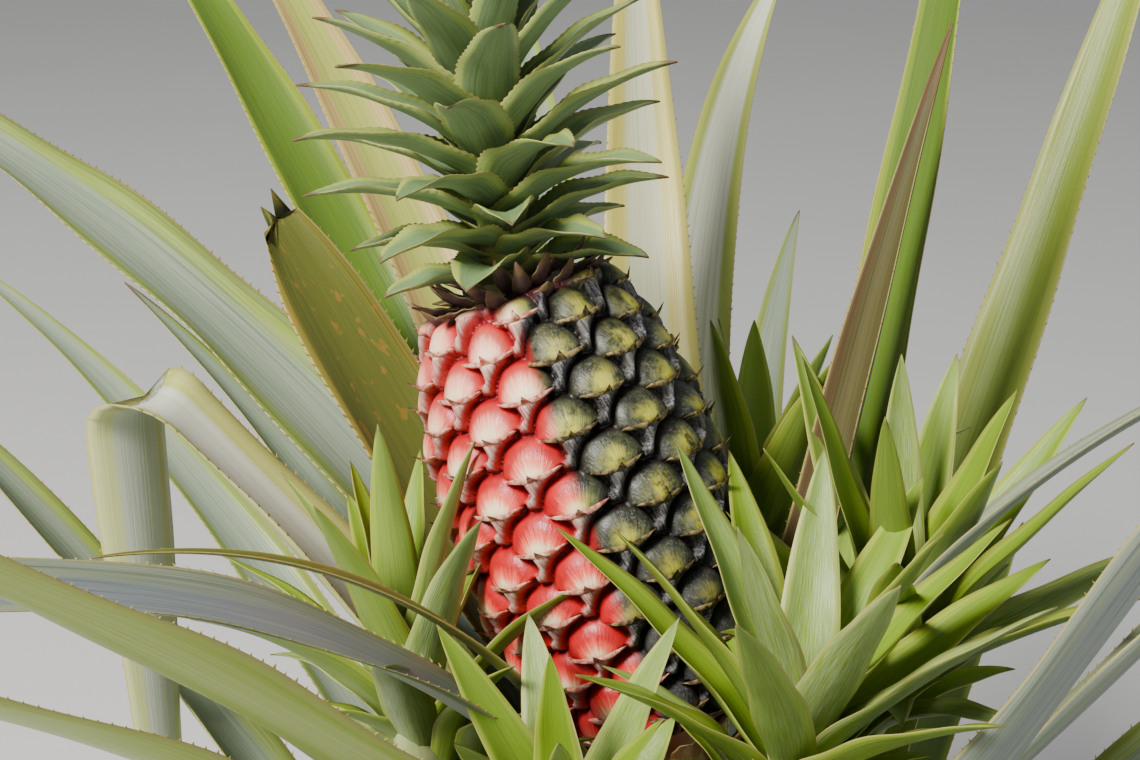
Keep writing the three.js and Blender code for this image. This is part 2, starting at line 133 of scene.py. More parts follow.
def paint(shader, colour, rough, height=None, strength=0.5, depth=0.001, gloss=0.5):
    """Gives a shader its colour, roughness and gloss, and a fine relief where it has a height."""
    give(shader.inputs["Base Color"], colour)
    give(shader.inputs["Roughness"], rough)
    give(shader.inputs["Specular IOR Level"], gloss)
    if height:
        relief = {"Height": height, "Strength": strength, "Distance": depth}
        give(shader.inputs["Normal"], wire(height.tree, "ShaderNodeBump", relief))


def add_object(name, data):
    piece = bpy.data.objects.new(name, data)
    bpy.context.scene.collection.objects.link(piece)
    return piece


def put_mesh(name, points, faces, material=None):
    """A smooth mesh object at the origin from arrays of points in metres and of faces."""
    mesh = bpy.data.meshes.new(name)
    mesh.from_pydata(np.asarray(points, float).tolist(), [], faces)
    mesh.polygons.foreach_set("use_smooth", np.ones(len(mesh.polygons), bool))
    if material:
        mesh.materials.append(material)
    mesh.validate()
    return add_object(name, mesh)


floor_finish, shader = new_finish("pale floor")
cloud = noise(on_object(floor_finish), 3.0)
paint(shader, tint(cloud, (0.62, 0.62, 0.60), (0.68, 0.68, 0.66)), 0.9)
FLOOR_HALF = 14.0
corners = [(FLOOR_HALF * x, FLOOR_HALF * y, 0.0) for x, y in ((-1, -1), (1, -1), (1, 1), (-1, 1))]
floor = put_mesh("floor", corners, [(0, 1, 2, 3)], floor_finish)


def lamp(name, size, watts, place, aim, colour):
    data = bpy.data.lights.new(name, "AREA")
    data.size = size
    data.energy = watts
    data.color = colour
    light = add_object(name, data)
    light.location = place
    light.rotation_euler = (Vector(aim) - Vector(place)).to_track_quat("-Z", "Y").to_euler()


lamp("key lamp", 0.8, 230, (-1.5, -1.5, 2.7), (0.0, 0.0, 0.5), (1.0, 0.97, 0.92))
lamp("fill lamp", 3.0, 30, (2.6, -2.2, 1.9), (0.0, 0.0, 0.4), (0.93, 0.96, 1.0))
world = bpy.data.worlds.new("soft room")
bpy.context.scene.world = world
world.use_nodes = True
sky = world.node_tree.nodes["Background"].inputs
sky["Color"].default_value = (0.86, 0.9, 0.95, 1)
sky["Strength"].default_value = 0.28

# The picture's middle, the fruit's middle in it and the lens, all in pixels, turn the camera on to the fruit.
PICTURE_MIDDLE = (570, 380)
FRUIT_MIDDLE = (592.0, 507.0)
FOCAL_LENGTH = 2058.0
FRUIT_BELOW = math.radians(25)
camera_data = bpy.data.cameras.new("camera")
camera_data.sensor_width = 36.0
camera_data.lens = 65.0
camera_data.clip_start = 0.02
camera = add_object("camera", camera_data)
look_down = FRUIT_BELOW - math.atan((FRUIT_MIDDLE[1] - PICTURE_MIDDLE[1]) / FOCAL_LENGTH)
look_left = math.atan((FRUIT_MIDDLE[0] - PICTURE_MIDDLE[0]) / FOCAL_LENGTH) / math.cos(look_down)
camera.location = (-0.0472, -0.7410, 0.8805)
camera.rotation_euler = (math.pi / 2 - look_down, 0.0, look_left)
bpy.context.scene.camera = camera


# Stem: a stout upright rod of soft fibrous wood, flared where it meets the ground. Thin ridges ring it
# where old leaves have come away, and dry fibre shows between them.
MM = 0.001
STEM = {"height": 378.0, "flare": 8.0, "flare_height": 26.0, "foot": 33.0, "top": 21.0, "scar_step": 8.1}


def stem_radius(z):
    taper = STEM["foot"] + (STEM["top"] - STEM["foot"]) * np.clip(z / STEM["height"], 0, 1) ** 2.2
    return taper + STEM["flare"] * np.exp(-z / STEM["flare_height"])


def tube(name, rows, material):
    """A closed tube through rows of points, each row one ring, with its ends filled to a middle point."""
    count, size = rows.shape[:2]
    foot, head = count * size, count * size + 1
    points = np.concatenate([rows.reshape(-1, 3), [rows[0].mean(axis=0), rows[-1].mean(axis=0)]])
    near = np.arange(foot).reshape(count, size)
    far = np.roll(near, -1, axis=1)
    faces = np.stack([near[:-1], far[:-1], far[1:], near[1:]], axis=-1).reshape(-1, 4).tolist()
    faces += [(b, a, foot) for a, b in zip(near[0].tolist(), far[0].tolist())]
    faces += [(a, b, head) for a, b in zip(near[-1].tolist(), far[-1].tolist())]
    return put_mesh(name, points * MM, faces, material)


def ripple(angle, z, seed, waves=7):
    """Smooth repeatable unevenness round a rod, from -1 to 1."""
    random = np.random.default_rng(seed)
    total = np.zeros(np.broadcast(angle, z).shape)
    for _ in range(waves):
        around = random.integers(1, 9)
        total += np.sin(around * angle + random.uniform(-0.3, 0.3) * z + random.uniform(0, 6.28))
    return total / waves


def split(vector):
    """The three parts of a vector."""
    node = wire(vector.tree, "ShaderNodeSeparateXYZ", (vector,)).socket.node
    return [Flow(vector.tree, socket) for socket in node.outputs]


def ease(value, low, high, to_low=0.0, to_high=1.0, kind="SMOOTHSTEP"):
    """A number that goes from one level to another while the value goes from low to high."""
    values = (value, low, high, to_low, to_high)
    return wire(value.tree, "ShaderNodeMapRange", values, interpolation_type=kind)


def stretched(vector, scale):
    return wire(vector.tree, "ShaderNodeMapping", {"Vector": vector, "Scale": scale})


stem_finish, shader = new_finish("stem fibre")
place = on_object(stem_finish)
fibre = noise(stretched(place, (900, 900, 60)), 1.0, 5.0)
blotch = noise(place, 45.0, 4.0)
rings = calc("SINE", split(place)[2] * 780.0 + blotch * 5.0)
bark = tint(fibre, (0.10, 0.065, 0.03), (0.36, 0.27, 0.14))
bark = tint(ease(blotch, 0.45, 0.7), bark, (0.24, 0.25, 0.10))
bark = tint(ease(rings, 0.6, 1.0, 0.0, 0.6), bark, (0.06, 0.04, 0.02))
paint(shader, bark, 0.85, fibre + rings * 0.5, 0.8, 0.0012)

heights = np.linspace(0, STEM["height"], 190)[:, None]
angles = np.linspace(0, 2 * np.pi, 96, endpoint=False)[None, :]
scar = np.cos(2 * np.pi * (heights / STEM["scar_step"] + angles / (2 * np.pi)))
relief = 0.7 * np.clip(scar, -0.2, 1) ** 3 + 0.5 * ripple(angles, heights, 3) - 0.9
radii = stem_radius(heights) + relief
stem_rows = np.stack([radii * np.cos(angles), radii * np.sin(angles), heights + 0 * angles], axis=-1)
stem = tube("stem_rod", stem_rows, stem_finish)
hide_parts("stem")
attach(stem, "root")


# Fruit stalk: a short fleshy stalk out of the leaf sheaths that bends into the fruit's lean. It thickens
# towards the fruit, and seven low ribs run up it.
UP = Vector((0, 0, 1))
STALK = {"foot": 14, "swell": 2, "upright": 13, "leaning": 46.4, "gap": 0.35}


def leaning(left, back):
    across, deep = -math.sin(math.radians(left)), math.sin(math.radians(back))
    return Vector((across, deep, math.sqrt(1 - across * across - deep * deep)))


fruit_axis = leaning(19.5, 12)
stalk_foot = Vector((0, 0, STEM["height"] + STALK["gap"]))
stalk_bend = stalk_foot + STALK["upright"] * UP
stalk_top = stalk_bend + STALK["leaning"] * fruit_axis


def stalk_point(share):
    return (1 - share) ** 2 * stalk_foot + 2 * share * (1 - share) * stalk_bend + share**2 * stalk_top


def stalk_way(share):
    return ((1 - share) * (stalk_bend - stalk_foot) + share * (stalk_top - stalk_bend)).normalized()


def rod_rows(shares, centres, ways, radius, size):
    """Rings of points round a line, each square to the line's way there."""
    rows = []
    for share, centre, way in zip(shares, centres, ways):
        turn = UP.rotation_difference(way)
        ring = []
        for angle in (2 * math.pi * i / size for i in range(size)):
            out = radius(share, angle)
            ring.append(centre + turn @ Vector((out * math.cos(angle), out * math.sin(angle), 0)))
        rows.append(ring)
    return np.array(rows)


def stalk_radius(share, angle):
    return STALK["foot"] + STALK["swell"] * share - 0.6 + 0.35 * math.sin(7 * angle + 9 * share)


stalk_finish, shader = new_finish("fleshy stalk")
place = on_object(stalk_finish)
streak = noise(stretched(place, (420, 420, 40)), 1.0, 4.0)
flesh = tint(streak, (0.52, 0.30, 0.16), (0.72, 0.52, 0.28))
flesh = tint(ease(noise(place, 60.0), 0.5, 0.7), flesh, (0.36, 0.40, 0.16))
paint(shader, flesh, 0.5, streak, 0.5, 0.0006)
shares = [float(share) for share in np.linspace(0, 1, 48)]
rows = rod_rows(shares, map(stalk_point, shares), map(stalk_way, shares), stalk_radius, 48)
stalk = tube("stalk_rod", rows, stalk_finish)
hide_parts("fruit_stalk")
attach(stalk, "root")


# Long leaves: waxy channelled blades that clasp the stem, a golden angle apart. Their faces carry a silver
# bloom between green or yellow margins, some are creased or torn, and the margins bear fine hooked spines.
GOLDEN = 137.508
LEAVES = {
    "count": 42, "lowest": 26.0, "highest": 366.0, "shortest": 540.0, "longest": 780.0, "innermost": 430.0,
}
LONGEST_AT = 0.42
LEAF_STATIONS = 110
LEAF_ACROSS = 9
LEAF_HALF = 25.0
LEAF_END = 0.998
FOLD_GAP = 0.0002
# Lean of the lowest and of the highest leaf, at their feet and at their tips, and how much the front leaves
# add to it. Then what chance may add in degrees.
FOOT_LEAN = (62, 34)
TIP_LEAN = (104, 62)
FRONT_DROOP = (17.0, 14.0)
SPREAD = {"azimuth": 6, "end": 8, "sweep": 12, "roll": 22}
# A blade is thickest where it clasps the stem, and its width runs out to a fine point.
CLASP_THICK, BLADE_THICK, TIP_THIN = 3.0, 1.5, 0.45
CLASP_GAP = 0.4
POINTED, FINEST = 0.85, 0.012
COMMON_KINDS = ("green", "silver", "lime", "green", "silver")
# The leaves with a line of their own: kind, azimuth, height, lean at the foot and at the tip, how late it
# bends, and what else sets the leaf apart.
LINE = ("kind", "azimuth", "height", "start", "end", "bend")
SINGLE_LEAVES = {
    2: ("lime", 278, 43, 78, 110, 1.18),
    9: ("silver", 164, 100, 27, 51, 1.16, dict(length=640, taper=2.6)),
    12: ("lime", 221, 125, 45, 84, 1.09),
    16: ("lime", 47, 175, 26, 29, 1.09, dict(length=700, taper=2.6)),
    17: ("folded", 173, 314, 32, 58, 1.12, dict(length=620, half=29, fold=(0.5, 0.56, 181, -38))),
    20: ("bright", 226, 265, 35, 71, 1.48, dict(length=640, roll=24, half=28, curl=(42, 24), taper=2.6)),
    22: ("silver", 144, 342, 32, 86, 0.72, dict(length=720, half=33, curl=(46, 24), taper=3.2)),
    24: ("white", 91, 237, 36, 67, 1, dict(length=690, sweep=-26, half=24, taper=3.2)),
    25: ("slate", 221, 335, 21, 92, 0.99, dict(length=560, roll=-24, half=21, curl=(42, 22), taper=2.6)),
    27: ("green", 126, 302, 38, 66, 1.04, dict(length=680, half=27, taper=2.8)),
    29: ("green", 47, 277, 19, 7, 1.07, dict(length=600)),
    30: ("silver", 145, 272, 34, 58, 1.3, dict(length=420, half=22, taper=2.4)),
    31: ("slate", 308, 275, 32, 24, 1.14, dict(length=540, half=26)),
    32: ("cream", 95, 261, 38, 37, 1.06, dict(length=600, half=29, curl=(42, 24), taper=3)),
    33: ("bright", 235, 295, 36, 57, 1.32, dict(length=620, roll=24, half=31, curl=(38, 20), taper=2.6)),
    34: ("slate", 341, 353, 10, 80, 1.09, dict(length=470, half=13)),
    35: ("olive", 143, 366, 43, 42, 1.23, dict(length=350, half=30, curl=(42, 24), taper=6, torn=0.93)),
    36: ("silver", 272, 322, 51, 79, 1.09),
    37: ("plum", 40, 326, 11, 19, 1.13, dict(length=400, half=20, curl=(62, 78))),
    38: ("olive", 213, 363, 24, 85, 1.65, dict(length=330, half=9)),
    39: ("slate", 335, 313, 39, 27, 1.11, dict(length=480, half=24)),
    40: ("straw", 121, 322, 35, 64, 0.96, dict(length=640, half=24, taper=3)),
    41: ("silver", 269, 368, 53, 81, 1.09),
}


def chance(seed):
    """A repeatable stream of numbers from 0 to 1."""
    full = 0xFFFFFFFF
    state = seed
    while True:
        state = (state + 0x6D2B79F5) & full
        mixed = ((state ^ (state >> 15)) * (1 | state)) & full
        mixed = ((mixed + (((mixed ^ (mixed >> 7)) * (61 | mixed)) & full)) & full) ^ mixed
        yield ((mixed ^ (mixed >> 14)) & full) / 4294967296


def between(low, high, share):
    return low + (high - low) * share


def smooth(value, low, high):
    share = np.clip((value - low) / (high - low), 0, 1)
    return share * share * (3 - 2 * share)


def leaf_plan(rank):
    """One leaf's line, width and fold: by the rule for all, and then by its own line where it has one."""
    random = chance(4021 + 77 * rank)
    share = rank / (LEAVES["count"] - 1)
    azimuth = 8 + GOLDEN * rank + (next(random) - 0.5) * SPREAD["azimuth"]
    front = -math.sin(math.radians(azimuth))
    if share < LONGEST_AT:
        length = between(LEAVES["shortest"], LEAVES["longest"], share / LONGEST_AT)
    else:
        length = between(LEAVES["longest"], LEAVES["innermost"], (share - LONGEST_AT) / (1 - LONGEST_AT))
    plan = dict(
        kind=COMMON_KINDS[rank % len(COMMON_KINDS)],
        azimuth=azimuth,
        height=between(LEAVES["lowest"], LEAVES["highest"], share),
        length=length * (0.96 + 0.08 * next(random)),
        start=between(*FOOT_LEAN, share) + FRONT_DROOP[0] * front,
        end=between(*TIP_LEAN, share) + FRONT_DROOP[1] * front + (next(random) - 0.5) * SPREAD["end"],
        sweep=(next(random) - 0.5) * SPREAD["sweep"],
        roll=(next(random) - 0.5) * SPREAD["roll"],
        bend=1.2,
        half=LEAF_HALF,
        taper=1.9,
        curl=(50, 34),
    )
    line = SINGLE_LEAVES.get(rank, ())
    plan.update(zip(LINE, line))
    plan.update(*line[len(LINE) :])
    return plan


def blade_line(plan, steps=240):
    """Points of a blade's middle line, with its directions along and to the side and its upper side's."""
    share = np.arange(steps + 1) / steps
    lean = between(plan["start"], plan["end"], share ** plan["bend"])
    azimuth = plan["azimuth"] + plan["sweep"] * share**2
    if "fold" in plan:
        low, high, hang, swing = plan["fold"]
        folded = smooth(share, low, high)
        lean = between(lean, hang, folded)
        azimuth = azimuth + swing * folded
    lean, azimuth = np.radians(lean), np.radians(azimuth)
    outward = np.stack([np.cos(azimuth), np.sin(azimuth), 0 * azimuth], axis=-1)
    along = outward * np.sin(lean)[:, None]
    along[:, 2] = np.cos(lean)
    steps_out = along[:-1] * plan["length"] / steps
    points = np.concatenate([np.zeros((1, 3)), np.cumsum(steps_out, axis=0)])
    turned = math.radians(plan["azimuth"])
    clasp = stem_radius(plan["height"]) + CLASP_GAP
    points += np.array([clasp * math.cos(turned), clasp * math.sin(turned), plan["height"]])
    side = np.stack([-outward[:, 1], outward[:, 0], 0 * azimuth], axis=-1)
    roll = np.radians(plan["roll"]) * share[:, None]
    side = side * np.cos(roll) + np.cross(along, side) * np.sin(roll)
    return share, points, side, np.cross(along, side)


def blade_rings(plan, shares):
    """Rings of points round a thin blade: the upper side from edge to edge, then the under side back."""
    share, points, side, upper = blade_line(plan)

    def at(values):
        return np.stack([np.interp(shares, share, values[:, i]) for i in range(3)], axis=-1)

    points, side, upper = at(points), at(side), at(upper)
    taper = (1 - shares ** plan["taper"]) ** POINTED
    half = plan["half"] * between(0.8, 1.0, smooth(shares, 0, 0.3)) * np.maximum(taper, FINEST)
    curl = np.radians(between(*plan["curl"], shares))
    clasp = plan["half"] * 0.8 / (stem_radius(plan["height"]) + 4)
    curl = between(clasp, curl, smooth(shares, 0, 0.15))
    thick = between(CLASP_THICK, BLADE_THICK, smooth(shares, 0, 0.25)) * between(1, TIP_THIN, shares)
    radius = half / curl
    span = np.linspace(-1, 1, LEAF_ACROSS)
    wave = 0.06 * half[:, None] * np.sin(shares[:, None] * plan["length"] / 21 + 2.2 * span + plan["height"])
    wave = wave * np.abs(span) ** 2 * smooth(shares, 0.15, 0.4)[:, None]
    slip = np.zeros((len(shares), LEAF_ACROSS))
    if "torn" in plan:
        ragged = 0.028 * np.sin(9 * span) + 0.016 * np.sin(23 * span + 1.7) - 0.03 * span
        near = smooth(shares, plan["torn"] - 0.12, plan["torn"])[:, None]
        slip = near * (ragged * plan["length"])[None, :]
    along = np.cross(side, upper)

    def layer(depth):
        angle = span[None, :] * curl[:, None]
        out = radius[:, None] + depth
        rise = radius[:, None] - out * np.cos(angle) + wave
        place = points[:, None] + side[:, None] * (out * np.sin(angle))[..., None]
        return place + upper[:, None] * rise[..., None] + along[:, None] * slip[..., None]

    keel = thick[:, None] * (1 - 0.6 * span[None, :] ** 2)
    return np.concatenate([layer(0 * keel), layer(keel)[:, ::-1]], axis=1), half


def note(mesh, name, values, kind="FLOAT", domain="POINT"):
    """Keeps an array of values on a mesh under a name."""
    values = np.asarray(values, bool if kind == "BOOLEAN" else np.float32).ravel()
    key = "vector" if kind == "FLOAT_VECTOR" else "value"
    mesh.attributes.new(name, kind, domain).data.foreach_set(key, values)


def lay_open(mesh, name, u, v):
    """Keeps a UV map on a mesh, with a place for each corner of its faces."""
    places = np.stack([u, v], axis=-1).ravel().astype(np.float32)
    mesh.uv_layers.new(name=name).data.foreach_set("uv", places)


def face_corners(mesh):
    """The vertex and the face of each corner of a mesh's faces."""
    vertex = np.zeros(len(mesh.loops), int)
    mesh.loops.foreach_get("vertex_index", vertex)
    return vertex, np.repeat(np.arange(len(mesh.polygons)), [p.loop_total for p in mesh.polygons])


def paint_maps(piece, shares, across):
    """UV maps of a blade: Blade runs across and along it, OFBake lays it open."""
    mesh = piece.data
    ring = 2 * across
    rows = len(shares)
    vertex, face = face_corners(mesh)
    body = vertex < rows * ring
    row = np.where(body, vertex // ring, np.where(vertex == rows * ring, 0, rows - 1))
    column = np.where(body, vertex % ring, across)
    over = column < across
    u = np.where(over, column / (across - 1), (ring - 1 - column) / (across - 1))
    v = shares[np.clip(row, 0, rows - 1)]
    lay_open(mesh, "Blade", u, v)
    seam = (face % ring == ring - 1) & (column == 0)
    open_column = np.where(seam, ring, column) / ring
    lay_open(mesh, "OFBake", 0.01 + 0.98 * open_column, 0.01 + 0.98 * v)
    place = np.arange(len(mesh.vertices))
    note(mesh, "under", (place % ring >= across) & (place < rows * ring))


def new_tree(name, kind, inputs, outputs):
    """A node tree with named inputs and outputs, listed by sort, and its inputs to reckon with."""
    tree = bpy.data.node_groups.new(name, kind)
    for way, sorts in (("INPUT", inputs), ("OUTPUT", outputs)):
        for sort, names in sorts.items():
            for label in names.split(", "):
                tree.interface.new_socket(label, in_out=way, socket_type=f"NodeSocket{sort}")
    given = tree.nodes.new("NodeGroupInput").outputs
    return tree, {socket.name: Flow(tree, socket) for socket in given if socket.name}


def kept(tree, name):
    """A number that a mesh keeps under a name, for its material."""
    return wire(tree, "ShaderNodeAttribute", out=2, attribute_name=name)


def join(tree, *parts):
    return wire(tree, "ShaderNodeCombineXYZ", parts)


def vector_calc(operation, first, second):
    place = 3 if operation == "SCALE" else 1
    return wire(first.tree, "ShaderNodeVectorMath", {0: first, place: second}, operation=operation)


BLADE_COLOURS = ("Face", "Margin", "Streak", "Under", "Dry Colour")
GREY_BLOOM = (0.58, 0.62, 0.50)
STRAW_RIM = (0.42, 0.36, 0.12)
RUST_SPOT = (0.42, 0.17, 0.03)
DRY_BROWN = (0.20, 0.11, 0.045)
DRY_STREAK = (0.07, 0.04, 0.02)


def blade_group():
    """Colour, roughness and height of a blade from its own map: band, margins, streaks, bloom, dry tip."""
    group, given = new_tree(
        "blade surface",
        "ShaderNodeTree",
        {"Color": ", ".join(BLADE_COLOURS), "Float": "Band, Streaks, Bloom, Dry, Spots, Seed"},
        {"Color": "Colour", "Float": "Roughness, Height"},
    )
    blade = wire(group, "ShaderNodeUVMap", uv_map="Blade")
    across, along, _ = split(blade)
    place = vector_calc("ADD", blade, join(group, None, None, given["Seed"]))
    line = noise(stretched(place, (46, 1.6, 1)), 1.0, 4.0, 0.6)
    broad = noise(stretched(place, (4, 1.3, 1)), 1.0, 2.0)
    grit = noise(stretched(place, (110, 12, 1)), 1.0, 2.0)
    edge = calc("ABSOLUTE", across * 2.0 - 1.0)
    shaken = edge + (broad - 0.5) * 0.5
    to_margin = ease(shaken, given["Band"] - 0.12, given["Band"] + 0.12)
    colour = tint(to_margin, given["Face"], given["Margin"])
    colour = tint(ease(line, 0.46, 0.66) * given["Streaks"], colour, given["Streak"])
    veined = tint(ease(line, 0.42, 0.62) * 0.5, given["Under"], given["Streak"])
    colour = tint(kept(group, "under") * ease(to_margin, 0.0, 1.0, 0.88, 0.3), colour, veined)
    colour = tint(ease(grit, 0.35, 0.75) * given["Bloom"], colour, GREY_BLOOM)
    rim = ease(edge + grit * 0.03, 0.955, 0.985)
    colour = tint(rim * 0.7, colour, STRAW_RIM)
    start = 1.0 - given["Dry"]
    reach = along + (broad - 0.5) * 0.16 + edge * 0.05
    dry = ease(reach, start, start + 0.05) * 0.95 * calc("GREATER_THAN", given["Dry"], 0.001)
    colour = tint(dry, colour, tint(line, given["Dry Colour"], DRY_STREAK))
    spot = noise(stretched(place, (9, 34, 1)), 1.0, 2.0)
    colour = tint(ease(spot, 0.62, 0.7) * given["Spots"], colour, RUST_SPOT)
    rough = ease(line, 0.2, 0.8, 0.27, 0.46) + dry * 0.3
    done = group.nodes.new("NodeGroupOutput").inputs
    for name, value in (("Colour", colour), ("Roughness", rough), ("Height", line + grit * 0.35)):
        give(done[name], value)
    return group


blade_surface = blade_group()


def blade_finish(name, colours, gloss=0.4, **amounts):
    """One kind of blade: the colours of its face, margin, streaks and under side, and how much it has of
    band, streak, bloom, dry tip and spots."""
    material, shader = new_finish(name)
    tree = material.node_tree
    group = tree.nodes.new("ShaderNodeGroup")
    group.node_tree = blade_surface
    for key, colour in zip(BLADE_COLOURS, (*colours, DRY_BROWN)):
        group.inputs[key].default_value = (*colour, 1)
    for key, value in {**dict(Band=0.6, Streaks=0.6, Bloom=0.05, Dry=0.02), **amounts}.items():
        group.inputs[key].default_value = value
    colour, rough, height = (Flow(tree, socket) for socket in group.outputs)
    paint(shader, colour, rough, height, 0.5, 0.00035, gloss)
    return material


SILVER = (0.23, 0.285, 0.20)
GREEN = (0.088, 0.16, 0.010)
LIME = (0.235, 0.32, 0.018)
leaf_kinds = {
    "silver": (SILVER, (0.22, 0.30, 0.022), (0.09, 0.13, 0.075), (0.26, 0.31, 0.24), dict(Bloom=0.25)),
    "white": ((0.60, 0.61, 0.48), (0.34, 0.40, 0.06), (0.30, 0.34, 0.17), (0.52, 0.55, 0.45), {}),
    "cream": ((0.44, 0.45, 0.30), (0.46, 0.40, 0.08), (0.28, 0.31, 0.11), (0.4, 0.41, 0.26), dict(Band=0.42)),
    "green": (GREEN, LIME, (0.05, 0.11, 0.018), (0.18, 0.25, 0.16), dict(Band=0.75)),
    "lime": (LIME, (0.33, 0.38, 0.05), (0.13, 0.21, 0.03), (0.26, 0.33, 0.17), dict(Bloom=0.12)),
    "bright": ((0.25, 0.34, 0.02), (0.42, 0.44, 0.12), (0.40, 0.42, 0.17), (0.25, 0.345, 0.03),
               dict(Bloom=0.04, Band=0.8, Streaks=0.75)),
    "straw": ((0.33, 0.36, 0.07), (0.46, 0.31, 0.11), (0.16, 0.22, 0.03), (0.30, 0.33, 0.18), dict(Band=0.5)),
    "folded": ((0.60, 0.62, 0.52), (0.44, 0.46, 0.10), (0.34, 0.38, 0.15), (0.38, 0.42, 0.36),
               dict(Band=0.46, Bloom=0.2, Streaks=0.4)),
    "olive": ((0.105, 0.115, 0.018), (0.25, 0.20, 0.03), (0.07, 0.085, 0.012), (0.12, 0.13, 0.035),
              dict(Spots=0.35, Band=0.86, Bloom=0.02)),
    "slate": ((0.16, 0.185, 0.20), (0.21, 0.25, 0.15), (0.08, 0.095, 0.11), (0.21, 0.24, 0.24),
              dict(Bloom=0.2)),
    "plum": ((0.085, 0.075, 0.022), (0.12, 0.075, 0.03), (0.035, 0.022, 0.012), (0.10, 0.085, 0.04),
             dict(Band=0.7, Bloom=0.03)),
}
DRY_TIPS = (0.03, 0.07, 0.015)
leaf_finishes = {}
for index, (kind, (*colours, amounts)) in enumerate(leaf_kinds.items()):
    leaf_finishes[kind] = [
        blade_finish(f"leaf {kind} {turn}", colours, Seed=3.7 * index + 11.3 * turn, Dry=dry, **amounts)
        for turn, dry in enumerate(DRY_TIPS)
    ]


BARE_ROWS = 4
SPINE_LEAN = 0.75


def mark_margin(piece, rings, half):
    """Marks a blade's two edge lines for its spines, with the way each spine leans and its size."""
    mesh = piece.data
    rows, ring = rings.shape[:2]
    last = LEAF_ACROSS - 1
    aim = np.zeros((len(mesh.vertices), 3))
    size = np.zeros(len(mesh.vertices))
    onward = np.gradient(rings, axis=0)
    for column, inner in ((0, 1), (last, last - 1)):
        out = rings[:, column] - rings[:, inner]
        out /= np.linalg.norm(out, axis=1)[:, None]
        ahead = onward[:, column] / np.linalg.norm(onward[:, column], axis=1)[:, None]
        aim[column : rows * ring : ring] = out + SPINE_LEAN * ahead
        size[column : rows * ring : ring] = np.clip(half / LEAF_HALF, 0.25, 1)
    ends = np.zeros(len(mesh.edges) * 2, int)
    mesh.edges.foreach_get("vertices", ends)
    low, high = np.sort(ends.reshape(-1, 2), axis=1).T
    on_edge = (low % ring == 0) | (low % ring == last)
    marked = (high - low == ring) & on_edge & (low >= BARE_ROWS * ring) & (high < (rows - 1) * ring)
    note(mesh, "aim", aim, "FLOAT_VECTOR")
    note(mesh, "size", size)
    note(mesh, "margin", marked, "BOOLEAN", "EDGE")


def named(tree, name, kind="FLOAT"):
    """What a mesh keeps under a name, for a tree that grows a shape."""
    return wire(tree, "GeometryNodeInputNamedAttribute", {"Name": name}, data_type=kind)


def keep(geometry, name, value, kind="FLOAT", domain="POINT"):
    values = {"Geometry": geometry, "Name": name, "Value": value}
    return wire(geometry.tree, "GeometryNodeStoreNamedAttribute", values, data_type=kind, domain=domain)


def realized(geometry):
    return wire(geometry.tree, "GeometryNodeRealizeInstances", (geometry,))


def finished(geometry, finish):
    return wire(geometry.tree, "GeometryNodeSetMaterial", {"Geometry": geometry, "Material": finish})


def end_tree(geometry):
    give(geometry.tree.nodes.new("NodeGroupOutput").inputs[0], geometry)
    return geometry.tree


def spine_tree():
    """Adds small spines along a blade's marked edges: evenly set, leaning outwards and on to the tip."""
    tree, given = new_tree(
        "margin spines",
        "GeometryNodeTree",
        {"Geometry": "Geometry", "Float": "Spacing, Length, Thickness", "Int": "Seed", "Material": "Finish"},
        {"Geometry": "Geometry"},
    )
    lines = {"Mesh": given["Geometry"], "Selection": named(tree, "margin", "BOOLEAN")}
    even = {"Curve": wire(tree, "GeometryNodeMeshToCurve", lines), "Length": given["Spacing"]}
    even = wire(tree, "GeometryNodeResampleCurve", even, mode="LENGTH")
    cone = {"Vertices": 3, "Radius Bottom": given["Thickness"], "Depth": given["Length"]}
    spine = wire(tree, "GeometryNodeMeshCone", cone, fill_type="NONE")
    corner = wire(tree, "GeometryNodeInputIndex") % 3.0
    cell = join(tree, corner * 0.4 + 0.1, ease(corner, 1.0, 2.0, 0.001, 0.007))
    spine = keep(spine, "OFBake", cell, "FLOAT2", "CORNER")
    aim = {"Vector": named(tree, "aim", "FLOAT_VECTOR")}
    turn = wire(tree, "FunctionNodeAlignRotationToVector", aim, axis="Z")
    stir = wire(tree, "FunctionNodeRandomValue", {2: 0.6, 3: 1.2, 8: given["Seed"]}, out=1, data_type="FLOAT")
    placed = {"Points": even, "Instance": spine, "Rotation": turn, "Scale": named(tree, "size") * stir}
    spines = realized(wire(tree, "GeometryNodeInstanceOnPoints", placed))
    both = wire(tree, "GeometryNodeJoinGeometry", (finished(spines, given["Finish"]),))
    give(both.socket.node.inputs[0], given["Geometry"])
    return end_tree(both)


def grown(piece, tree, values):
    """Runs a Geometry Nodes tree on a piece with named values and keeps the result as its plain mesh."""
    modifier = piece.modifiers.new("grow", "NODES")
    modifier.node_group = tree
    for item in tree.interface.items_tree:
        if item.in_out == "INPUT" and item.name in values:
            modifier[item.identifier] = values[item.name]
    bpy.context.view_layer.update()
    seen = piece.evaluated_get(bpy.context.evaluated_depsgraph_get())
    mesh = bpy.data.meshes.new_from_object(seen)
    piece.modifiers.remove(modifier)
    piece.data = mesh
    mesh.name = piece.name
    return piece


spine_finish, shader = new_finish("leaf spine")
horn = tint(noise(on_object(spine_finish), 90.0), (0.26, 0.15, 0.04), (0.40, 0.38, 0.12))
paint(shader, horn, 0.45)
spines = spine_tree()
SPINES = {"Spacing": 0.0054, "Length": 0.0023, "Thickness": 0.0006, "Finish": spine_finish}


